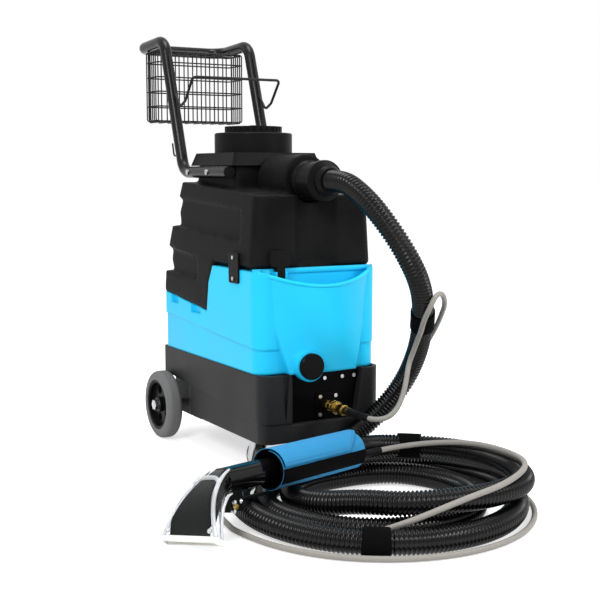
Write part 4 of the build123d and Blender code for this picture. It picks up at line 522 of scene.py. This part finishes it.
# A point before the first turn, from which the route runs into the turn without a kink
def entryPoint(run):
    eighths = np.array(run["eighths"], float)
    angle = math.radians(run["start"])
    grow, climb = (eighths[1] - eighths[0]) / eighth
    out = np.array([math.cos(angle), math.sin(angle), 0.0])
    onward = np.array([-math.sin(angle), math.cos(angle), 0.0])
    heading = onward * eighths[0, 0] + out * grow + np.array([0, 0, climb])
    start = np.array([*run["centre"], 0.0]) + out * eighths[0, 0] + np.array([0, 0, eighths[0, 1]])
    return start - heading / np.linalg.norm(heading) * run["lead"]


# Routes in millimetres; the length of the hose's drop is in metres, the floor turns begin after it
hose = {
    "radius": 21.0,
    "rib": 7.2,
    "profile": (18.0, 19.0, 20.8, 21.0, 20.4),
    "sides": 26,
    "dropLength": 1.011,
    "run": [(0, -361, 583), (0, -405, 583), (4, -448, 566), (18, -494, 530), (51, -533, 461), (94, -530, 392),
            (132, -486, 328), (164, -427, 250), (154, -388, 174), (106, -368, 114), (46, -362, 74),
            (-30, -361, 48), (-95, -362, 38), (-142, -368, 36)],
    "lead": 44.0,
    "centre": (-38.0, -595.0),
    "start": 135.0,
    "eighths": [(252, 36), (253, 28), (252, 22.5), (246, 22.5), (240, 22.5), (249, 22.5), (244, 22.5),
                (190, 22.5), (206, 22.5), (206, 22.5), (192, 22.5), (179, 22.5), (170, 22.5), (168, 22.5),
                (168, 22.5), (146, 22.5), (160, 22.5), (154, 37), (160, 61), (206, 69), (254, 70), (227, 72),
                (182, 74)],
    "arrive": 55.0,
}
line = {
    "radius": 5.0,
    "step": 6.0,
    "sides": 14,
    "run": [(17, -434, 135), (17, -460, 135), (25, -482, 134), (46, -493, 137), (71, -488, 150),
            (92, -477, 173), (107, -467, 202), (124, -450, 230), (127, -463, 258), (123, -481, 282),
            (118, -498, 299), (110, -517, 322), (107, -539, 347), (121, -540, 373), (151, -520, 372),
            (175, -497, 348), (180, -478, 324), (184, -457, 299), (188, -430, 272), (188, -402, 241),
            (172, -352, 178), (148, -344, 147), (116, -343.5, 118), (82, -339, 84), (48, -335, 52),
            (-10, -333, 40), (-75, -333, 36), (-135, -337, 31), (-192, -350, 28), (-246, -387, 23),
            (-290, -450, 15), (-318, -518, 9)],
    "lead": 34.0,
    "centre": (-38.0, -595.0),
    "start": 180.0,
    "eighths": [(284, 6.5), (283, 6.5), (276.5, 6.5), (270, 6.5), (282, 6.5), (288, 6.5), (282, 6.5),
                (256, 6.5), (231, 6.5), (219, 16), (240, 82), (258, 102), (200, 98), (144, 79)],
    "gate": (0.0, 32.0, -10.0),
    "arrive": 50.0,
}


def routePoints(run, end):
    arrive = end - toolAlong * run["arrive"]
    drop = np.array(run["run"], float)
    return np.concatenate([drop, [entryPoint(run)], looseTurns(run), [arrive, end]]) * mm


# Vacuum hose: a rib is five rings, from a valley over a rounded crest, repeated along the line
hosePath = smoothLine("hoseLine", routePoints(hose, toolTail))
hoseLength = pathLength(hosePath)
hoseSteps = np.arange(0, hoseLength, hose["rib"] / len(hose["profile"]) * mm)
hoseRings = resample(hosePath, hoseSteps)
hoseRadii = np.resize(np.array(hose["profile"]), len(hoseSteps)) * mm
points, faces, uv = tubeMesh(hoseRings, hoseRadii, hose["sides"])
vacuumHose = addPiece("vacuumHose", points, faces, "hose_black", cornerUv=uv)
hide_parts("hose_drop", "hose_coil")

# Solution line: a plain round section under its braid
linePath = smoothLine("lineLine", routePoints(line, onTool(*line["gate"])))
lineLength = pathLength(linePath)
lineRings = resample(linePath, np.arange(0, lineLength, line["step"] * mm))
points, faces, uv = tubeMesh(lineRings, np.full(len(lineRings), line["radius"] * mm), line["sides"])
solutionLine = addPiece("solutionLine", points, faces, "line_grey", cornerUv=uv)
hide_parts("line_drop", "line_coil")
print("hose", round(hoseLength, 3), "m, line", round(lineLength, 3), "m")


# Hook-and-loop bands: the skin round the hose, and round the line where it lies close, pulled tight.
# A place is: on the drop or the floor turns, share of that length, and how near the line is to be held
bands = {
    "width": 44.0,
    "thick": 1.8,
    "slack": 0.7,
    "window": 12.0,
    "floorGap": 0.4,
    "rows": 9,
    "sides": 48,
    "cloth": (3.0, 5.0),
    "places": (("drop", 0.405, 0.0), ("turns", 0.1215, 34.0), ("turns", 0.961, 34.0)),
}


# Map of a grid of cloth: the size of a cell across and along, in metres
def clothMap(row, column, wide, long):
    return np.stack([np.stack([column, column + 1, column + 1, column], 1) * wide,
                     np.stack([row, row, row + 1, row + 1], 1) * long], -1)[:, ::-1]


def bandSkin(path, other, where, near, b):
    half = b["width"] * mm / 2
    rows = resample(path, where + np.linspace(-half, half, b["rows"]))
    along, side, upright = across(rows)
    middle = b["rows"] // 2
    gap = other - rows[middle]
    level = gap @ along[middle]
    beside = np.stack([gap @ side[middle], gap @ upright[middle]], 1)
    close = np.where(np.abs(level) < b["window"] * mm, np.linalg.norm(beside, axis=1), 1.0)
    turn = np.linspace(0, 2 * math.pi, b["sides"], endpoint=False)
    out = np.stack([np.cos(turn), np.sin(turn)], 1)
    reach = (hose["radius"] + b["slack"]) * mm
    flat = out * reach
    nearest = beside[close.argmin()]
    if close.min() < near * mm:
        thin = (line["radius"] + b["slack"]) * mm
        held = out @ nearest + thin > reach
        flat = np.where(held[:, None], nearest + out * thin, flat)
    skins = []
    for lift in (0.0, b["thick"] * mm):
        shape = flat + out * lift
        skin = rows[:, None] + shape[None, :, :1] * side[:, None] + shape[None, :, 1:] * upright[:, None]
        skin[..., 2] = np.maximum(skin[..., 2], b["floorGap"] * mm)
        skins.append(skin)
    ring = np.concatenate([skins[1], skins[0][::-1]])
    quads, row, column = gridQuads(2 * b["rows"], b["sides"], closeRows=True, closeColumns=True)
    uv = clothMap(row, column, *(size * mm for size in b["cloth"]))
    return ring.reshape(-1, 3), quads[:, ::-1].tolist(), uv.reshape(-1, 2)


parts, maps = [], []
for stretch, share, near in bands["places"]:
    begin, end = (0.0, hose["dropLength"]) if stretch == "drop" else (hose["dropLength"], hoseLength)
    points, faces, uv = bandSkin(hosePath, linePath, begin + share * (end - begin), near, bands)
    parts.append((points, faces))
    maps.append(uv)
points, faces = joinParts(parts)
hoseBands = addPiece("hoseBands", points, faces, "wrap_black", cornerUv=np.concatenate(maps))
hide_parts("hose_wraps")
print("bands:", len(parts))

# Rubber sleeves slipped over the line where it leaves its boot and where it enters the hand wrap.
# A span is in metres along the line, counted from its far end where it is negative
sleeves = {
    "radius": 7.2,
    "taper": 5.8,
    "spans": ((0.0, 0.034), (-0.055, -0.004)),
    "rows": 12,
    "sides": 16,
}


def sleeveMesh(s):
    parts = []
    for span in s["spans"]:
        begin, end = (v if v >= 0 and span[1] > 0 else lineLength + v for v in span)
        rows = resample(linePath, np.linspace(begin, end, s["rows"]))
        radii = np.full(s["rows"], s["radius"])
        radii[[0, -1]] = s["taper"]
        parts.append(tubeMesh(rows, radii * mm, s["sides"])[:2])
    return joinParts(parts)


lineSleeves = addPiece("lineSleeves", *sleeveMesh(sleeves), "boot_black")
print("line sleeves done")

# Moulded shell: the recovery tank's own form with every edge rounded, as a mould leaves it
shell = {
    "node": "recovery_tank",
    "name": "recoveryShell",
    "weld": 0.02,
    "cell": 3.5,
    "passes": 4,
    "factor": 0.5,
}


def mouldedShell(s):
    node, name = s["node"], s["name"]
    work = bmesh.new()
    work.from_mesh(nodes[node].data)
    bmesh.ops.remove_doubles(work, verts=work.verts, dist=s["weld"] * mm)
    mesh = bpy.data.meshes.new(name)
    work.to_mesh(mesh)
    work.free()
    piece = bpy.data.objects.new(name, mesh)
    scene.collection.objects.link(piece)
    remesh = piece.modifiers.new("evenGrid", "REMESH")
    remesh.mode = "VOXEL"
    remesh.voxel_size = s["cell"] * mm
    smooth = piece.modifiers.new("roundEdges", "SMOOTH")
    smooth.iterations = s["passes"]
    smooth.factor = s["factor"]
    done = bpy.data.meshes.new_from_object(piece.evaluated_get(bpy.context.evaluated_depsgraph_get()))
    piece.modifiers.clear()
    piece.data = done
    done.polygons.foreach_set("use_smooth", np.full(len(done.polygons), True))
    slot = next(p["material_slot"] for p in frame["record"]["subparts"] if p["node"] == node)
    wear(piece, finishes[slot])
    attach(piece, machine)
    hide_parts(node)
    print(name, len(done.polygons), "faces")


mouldedShell(shell)

# Scoop lip: a rounded roll on the dipped edge of the pour-in front, as wide as the tank.
# The wall runs from a foot to a lip; both are arcs through a corner, the middle and the other corner
scoop = {
    "foot": (76.0, -334.0, -340.0),
    "lip": (137.0, -298.0, -356.0),
    "footZ": 206.0,
    "lipZ": 412.0,
    "half": 139.0,
    "dip": 380.0,
    "wall": 5.0,
    "roll": 4.2,
    "sink": 0.35,
    "inset": 6.0,
    "rows": 81,
    "sides": 16,
}


# Height of an arc through (half, edge), (0, middle) and (-half, edge)
def arcThrough(x, half, edge, middle):
    rise = edge - middle
    radius = (half * half + rise * rise) / (2 * rise)
    return middle + radius - np.sign(radius) * np.sqrt(radius * radius - x * x)


def scoopRoll(s):
    x = np.linspace(-1, 1, s["rows"]) * (s["lip"][0] - s["inset"])
    z = arcThrough(x, s["half"], s["lipZ"], s["dip"])
    share = (z - s["footZ"]) / (s["lipZ"] - s["footZ"])
    half, corner, middle = (a + (b - a) * share for a, b in zip(s["foot"], s["lip"]))
    y = arcThrough(np.clip(x, -half, half), half, corner, middle)
    path = np.stack([x, y + s["wall"] / 2, z - s["roll"] * s["sink"]], 1) * mm
    return tubeMesh(path, np.full(len(x), s["roll"] * mm), s["sides"])[:2]


addPiece("scoopRoll", *scoopRoll(scoop), "tank_blue")
print("scoop lip done")

# Wire basket: hoops with rounded corners inside, and hanging U wires outside in both directions.
# A weld is the distance between two wires that touch, in wire radii
basket = {
    "wire": 1.6,
    "rim": 2.3,
    "corner": 10.0,
    "weld": 1.7,
    "across": 10,
    "deep": 6,
    "levels": (752, 786, 819, 853),
}


# Half-width, drop and corner of a U that starts and ends at height 0
def hangingU(half, drop, corner, steps=6):
    bend = np.linspace(0, math.pi / 2, steps)
    left = np.stack([-half + corner * (1 - np.cos(bend)), -drop + corner * (1 - np.sin(bend))], 1)
    return np.concatenate([[(-half, 0)], left, left[::-1] * (-1, 1), [(half, 0)]])


# A quarter circle at each corner, joined by straight runs
def roundedHoop(halfX, halfY, corner, steps=6):
    bend = np.linspace(0, math.pi / 2, steps)
    turn = (bend[None] + np.arange(4)[:, None] * math.pi / 2).ravel()
    quarter = np.repeat(np.arange(4), steps)
    signX = np.where((quarter == 0) | (quarter == 3), 1, -1)
    signY = np.where(quarter < 2, 1, -1)
    return np.stack([signX * (halfX - corner) + corner * np.cos(turn),
                     signY * (halfY - corner) + corner * np.sin(turn)], 1)


def basketWires(b):
    low, high = (np.array(c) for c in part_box("wire_basket"))
    wire, corner = b["wire"] * mm, b["corner"] * mm
    middle = (low + high) / 2
    half = (high - low) / 2 - wire
    top = high[2] - b["rim"] * mm
    drop = top - low[2] - wire
    weld = b["weld"] * wire
    parts = []
    for x in np.linspace(-half[0] + corner, half[0] - corner, b["across"]):
        u = hangingU(half[1], drop, corner / 2)
        path = np.stack([np.full(len(u), middle[0] + x), middle[1] + u[:, 0], top + u[:, 1]], 1)
        parts.append(wireTube(path, wire, (1, 0, 0)))
    for y in np.linspace(-half[1] + corner, half[1] - corner, b["deep"]):
        u = hangingU(half[0], drop - weld, corner / 2)
        path = np.stack([middle[0] + u[:, 0], np.full(len(u), middle[1] + y), top + u[:, 1]], 1)
        parts.append(wireTube(path, wire, (0, 1, 0)))
    hoops = [(z * mm, wire) for z in b["levels"]] + [(top, b["rim"] * mm)]
    for z, radius in hoops:
        loop = roundedHoop(half[0] - weld, half[1] - weld, corner)
        path = np.column_stack([loop + middle[:2], np.full(len(loop), z)])
        parts.append(wireTube(path, radius, (0, 0, 1), True))
    return joinParts(parts)


basketPiece = addPiece("basketWires", *basketWires(basket), "wire_black")
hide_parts("wire_basket")
print("basket wires done")

# Hand wrap: a sheet rolled a little over one turn round the tool; the flap lies over its own start.
# An angle on the tool is counted from its side towards its top
wrap = {
    "length": 240.0,
    "inner": 31.0,
    "core": 2.6,
    "face": 0.8,
    "gap": 0.05,
    "shift": 8.7,
    "begin": 82.0,
    "turn": 434.0,
    "climb": (215.0, 345.0),
    "lift": 3.9,
    "ripples": ((0.7, 17.0), (0.5, 7.5)),
    "ripplePhase": 0.6,
    "loose": 0.8,
    "loosen": 60.0,
    "cut": 52.0,
    "cutTurn": 62.0,
    "rows": 61,
    "columns": 121,
    "cloth": 2.0,
    "strip": (2.0, -44.0),
    "stripThick": 1.0,
    "bead": 1.5,
    "beadIn": 1.0,
    "beadRows": 90,
    "beadSides": 10,
    "stitch": 3.4,
    "stitches": 44,
    "stitchIn": 9.0,
    "stitchFrom": 6.0,
    "thread": (0.25, 0.45, 0.45, 0.25),
    "threadSides": 6,
    "arcSteps": 400,
}


def ease(x):
    x = np.clip(x, 0, 1)
    return x * x * (3 - 2 * x)


# Where the roll ends at each place along the tool: the tail corner of the flap is cut back
def flapEnd(u, w):
    return w["turn"] - w["cutTurn"] * np.clip(1 - u / w["cut"], 0, 1)


# Inner radius over the roll: it climbs over its own start and ripples a little along the flap
def rollRadius(u, roll, w):
    begin, end = w["climb"]
    (wave, waveRun), (crease, creaseRun) = w["ripples"]
    folds = crease * np.sin(u / creaseRun + roll / w["loosen"])
    ripple = wave * np.sin(u / waveRun + w["ripplePhase"]) + folds
    loose = ease((roll - end) / w["loosen"])
    return w["inner"] + w["lift"] * ease((roll - begin) / (end - begin)) + loose * (w["loose"] + ripple)


def onWrap(u, roll, lift, w):
    angle = np.radians(w["begin"] - roll)
    radius = rollRadius(u, roll, w) + lift
    return onTool(u, w["shift"] + radius * np.cos(angle), radius * np.sin(angle)) * mm


# A layer of the roll between two lifts: an outer and an inner skin, joined round all four edges
def wrapLayer(w, low, high, first=None, last=None):
    places = np.linspace(0, w["length"], w["rows"])
    u, share = np.meshgrid(places, np.linspace(0, 1, w["columns"]), indexing="ij")
    start = np.zeros_like(u) if first is None else np.full_like(u, first)
    stop = flapEnd(u, w) if last is None else np.full_like(u, last)
    roll = start + share * (stop - start)
    ring = np.concatenate([onWrap(u, roll, high, w), onWrap(u, roll, low, w)[:, ::-1]], 1)
    rows, columns = w["rows"], 2 * w["columns"]
    quads, row, column = gridQuads(rows, columns, closeColumns=True)
    uv = clothMap(row, column, w["cloth"] * mm, w["length"] * mm / rows)
    j = np.arange(w["columns"] - 1)
    rim = np.stack([j, j + 1, columns - 2 - j, columns - 1 - j], 1)
    far = rim[:, ::-1] + (rows - 1) * columns
    faces = np.concatenate([quads, rim[:, ::-1], far[:, ::-1]])
    flat = np.zeros((2 * len(rim), 4, 2))
    return ring.reshape(-1, 3), faces[:, ::-1].tolist(), np.concatenate([uv, flat]).reshape(-1, 2)


def wrapPieces(w):
    face = w["core"] + w["gap"]
    points, faces, uv = wrapLayer(w, face, face + w["face"])
    cover = addPiece("handWrap", points, faces, "wrap_blue", cornerUv=uv)
    points, faces, uv = wrapLayer(w, 0.0, w["core"])
    core = addPiece("wrapCore", points, faces, "wrap_black", cornerUv=uv)
    outer = face + w["face"] + w["gap"]
    first, last = (w["begin"] - a for a in w["strip"])
    points, faces, uv = wrapLayer(w, outer, outer + w["stripThick"], first, last)
    strip = addPiece("hookStrip", points, faces, "wrap_black", cornerUv=uv)
    u = np.linspace(w["beadIn"], w["length"] - w["beadIn"], w["beadRows"])
    edge = onWrap(u, flapEnd(u, w), (w["core"] + w["face"]) / 2, w)
    points, faces, uv = tubeMesh(edge, np.full(len(u), w["bead"] * mm), w["beadSides"])
    bead = addPiece("wrapBinding", points, faces, "wrap_blue", cornerUv=uv)
    seam = []
    thread = np.array(w["thread"]) * mm
    for middle in np.linspace(w["stitchFrom"], w["length"] - w["stitchFrom"], w["stitches"]):
        u = middle + np.linspace(-0.5, 0.5, len(thread)) * w["stitch"]
        roll = flapEnd(u, w) - w["stitchIn"]
        path = onWrap(u, roll, face + w["face"] + 2 * w["gap"], w)
        seam.append(tubeMesh(path, thread, w["threadSides"])[:2])
    stitches = addPiece("wrapStitches", *joinParts(seam), "wrap_blue", material=threadBlue)
    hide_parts("hand_wrap")


threadBlue = plasticFinish("threadBlue", (0.02, 0.12, 0.26), 0.6, 900.0, 0.0001)
wrapPieces(wrap)
print("hand wrap done")

# Clear head: thick moulded rims along the edges of its loft, which runs through three sections.
# A section is: place along, drop, tilt in degrees, width, thickness
head = {
    "sections": ((350.0, 0.0, 0.0, 44.0, 44.0), (372.0, -7.33, 29.54, 54.0, 36.0),
                 (430.6, -75.8, 59.08, 122.0, 18.0)),
    "stations": (0.0, 0.205, 1.0),
    "rimRows": 40,
    "rimSides": 12,
    "slim": (0.55, 0.25),
    "frontRim": 3.6,
    "frontAt": (0.94, 2.2),
    "rearRim": 2.6,
    "rearAt": (0.97, 2.4),
    "boss": (0.93, 0.8, 0.5),
    "bossOut": 10.0,
    "bossProfile": [(4.4, 0), (4.4, 2.2), (3.6, 3.1), (1.8, 3.5), (0.5, 3.5)],
    "brow": 4.2,
    "browAt": 0.17,
    "browBend": 0.1,
    "browThin": 0.35,
    "browHalf": 0.98,
    "browDeep": 0.8,
    "browRows": 33,
    "browSides": 14,
    "arch": (0.30, 0.34),
    "archHalf": 0.66,
    "archDeep": 3.2,
    "archWire": 0.9,
    "archRows": 41,
    "archSides": 8,
}


# A point of the head: share along the loft, share of the half-width, depth below its front face
def onHead(share, beside, depth, h):
    weights = np.array([np.polyfit(h["stations"], column, 2) for column in np.array(h["sections"]).T])
    along, drop, tilt, width, thick = (np.polyval(w, share) for w in weights)
    tilt = np.radians(tilt)
    out = thick / 2 - depth
    sideways = beside * width / 2 + 0 * along
    return onTool(along + out * np.sin(tilt), sideways, drop + out * np.cos(tilt)) * mm


def headDetails(h):
    run = np.linspace(0.0, 1.0, h["rimRows"])
    least, until = h["slim"]
    swell = (least + (1 - least) * ease(run / until)) * mm
    thick = np.interp(run, h["stations"], [section[4] for section in h["sections"]])
    frontBeside, frontDeep = h["frontAt"]
    rearBeside, rearDeep = h["rearAt"]
    share, bossBeside, bossDeep = h["boss"]
    rims = []
    for edge in (-1, 1):
        front = onHead(run, edge * frontBeside, frontDeep, h)
        rims.append(tubeMesh(front, h["frontRim"] * swell, h["rimSides"])[:2])
        rear = onHead(run, edge * rearBeside, thick - rearDeep, h)
        rims.append(tubeMesh(rear, h["rearRim"] * swell, h["rimSides"])[:2])
        boss = onHead(share, edge * bossBeside, bossDeep, h)
        out = onHead(share, edge * bossBeside, bossDeep - h["bossOut"], h) - boss
        rims.append(turnedMesh(boss, out / np.linalg.norm(out), h["bossProfile"]))
    sweep = np.linspace(-h["browHalf"], h["browHalf"], h["browRows"])
    brow = onHead(h["browAt"] + h["browBend"] * sweep ** 4, sweep, h["browDeep"], h)
    rims.append(tubeMesh(brow, h["brow"] * mm * (1 - h["browThin"] * sweep ** 4), h["browSides"])[:2])
    addPiece("headRims", *joinParts(rims), "clear_plastic", material=rimClearWithPaintedHighlight)
    low, rise = h["arch"]
    sweep = np.linspace(-h["archHalf"], h["archHalf"], h["archRows"])
    arch = onHead(low + rise * (sweep / h["archHalf"]) ** 4, sweep, h["archDeep"], h)
    wire = np.full(len(arch), h["archWire"] * mm)
    addPiece("insertArch", *tubeMesh(arch, wire, h["archSides"])[:2], "boot_black")


# The rims let only a little over half of the light through and are otherwise a white surface: a painted
# highlight for the bright thick edges of the clear head, on top of their real refraction
rimClearWithPaintedHighlight = clearFinish("rimClearWithPaintedHighlight", (0.95, 0.96, 0.98), 0.55, 1.45)
headDetails(head)

# Spray valve: a brass jet nut between two steel ball nipples, and a dome nut on the trigger's pin
valve = {
    "face": 14.0,
    "jet": (340.0, -43.0),
    "jetSides": 6,
    "balls": ((343.0, -35.5), (346.0, -50.0)),
    "pin": (324.0, -37.0),
    "jetProfile": [(5.2, -2), (5.2, 5), (4.4, 6), (2.6, 6), (2.6, 9), (1.0, 9)],
    "ballProfile": [(2.4, -2), (2.4, 1), (3.6, 2), (4.2, 4), (3.8, 6), (2.4, 7.6), (0.6, 8.1)],
    "pinProfile": [(4.2, 0.1), (4.2, 1.6), (3.4, 3.2), (1.8, 4.2), (0.4, 4.5)],
}


def valveDetails(v):
    def onFace(spot, profile, sides=20):
        along, up = spot
        return turnedMesh(onTool(along, v["face"], up) * mm, toolSide, profile, sides)

    addPiece("jetNut", *onFace(v["jet"], v["jetProfile"], v["jetSides"]), "brass", smooth=False)
    steel = [onFace(spot, v["ballProfile"]) for spot in v["balls"]]
    steel.append(onFace(v["pin"], v["pinProfile"]))
    addPiece("valveNipples", *joinParts(steel), "bright_steel")


valveDetails(valve)
print("tool details done")
# Studio: soft light, white surroundings, pale floor. A lamp is: name, place, size in metres, watts
studio = {
    "ambient": 0.5,
    "glow": 0.6,
    "lamps": [("keyLamp", (-2.6, -2.2, 2.6), 1.1, 78.0), ("fillLamp", (2.2, -2.9, 2.0), 1.1, 60.0),
              ("topLamp", (0.0, -0.3, 3.2), 1.4, 52.0)],
    "aim": (0.0, -0.2, 0.35),
    "floor": 30.0,
    "floorTone": (0.8, 0.8, 0.8, 1.0),
    "floorRough": 0.7,
}
white = (1.0, 1.0, 1.0, 1.0)


# One for rays that show a thing straight, through clear pieces or mirrored, zero for rays that light it
def seenRays(tree):
    rays = addNode(tree, "LightPath").outputs
    direct = maths(tree, "MAXIMUM", rays["Is Camera Ray"], rays["Is Transmission Ray"])
    return maths(tree, "MAXIMUM", direct, rays["Is Glossy Ray"])


def addWorld(s):
    world = bpy.data.worlds.new("studioWorld")
    scene.world = world
    world.use_nodes = True
    tree = world.node_tree
    tree.nodes.clear()
    level = remap(tree, seenRays(tree), 0.0, 1.0, s["ambient"], 1.0)
    backdrop = addNode(tree, "Background", {"Color": white, "Strength": level})
    leave = tree.nodes.new("ShaderNodeOutputWorld")
    tree.links.new(backdrop.outputs[0], leave.inputs["Surface"])


def addLamps(s):
    for name, place, size, power in s["lamps"]:
        lamp = bpy.data.lights.new(name, "AREA")
        lamp.size = size
        lamp.energy = power
        holder = bpy.data.objects.new(name, lamp)
        holder.location = place
        x, y, z = np.array(s["aim"]) - np.array(place)
        holder.rotation_euler = (math.atan2(math.hypot(x, y), -z), 0, math.atan2(y, x) - math.pi / 2)
        scene.collection.objects.link(holder)


def addFloor(s):
    reach = s["floor"]
    corners = [(-reach, -reach, 0.0), (reach, -reach, 0.0), (reach, reach, 0.0), (-reach, reach, 0.0)]
    mesh = bpy.data.meshes.new("studioFloor")
    mesh.from_pydata(corners, [], [[0, 1, 2, 3]])
    floor = bpy.data.objects.new("studioFloor", mesh)
    scene.collection.objects.link(floor)
    material, tree, shader = newMaterial("paleFloor")
    shader.inputs["Base Color"].default_value = s["floorTone"]
    shader.inputs["Roughness"].default_value = s["floorRough"]
    shader.inputs["Emission Color"].default_value = white
    tree.links.new(maths(tree, "MULTIPLY", seenRays(tree), s["glow"]), shader.inputs["Emission Strength"])
    wear(floor, material)


addWorld(studio)
addLamps(studio)
addFloor(studio)
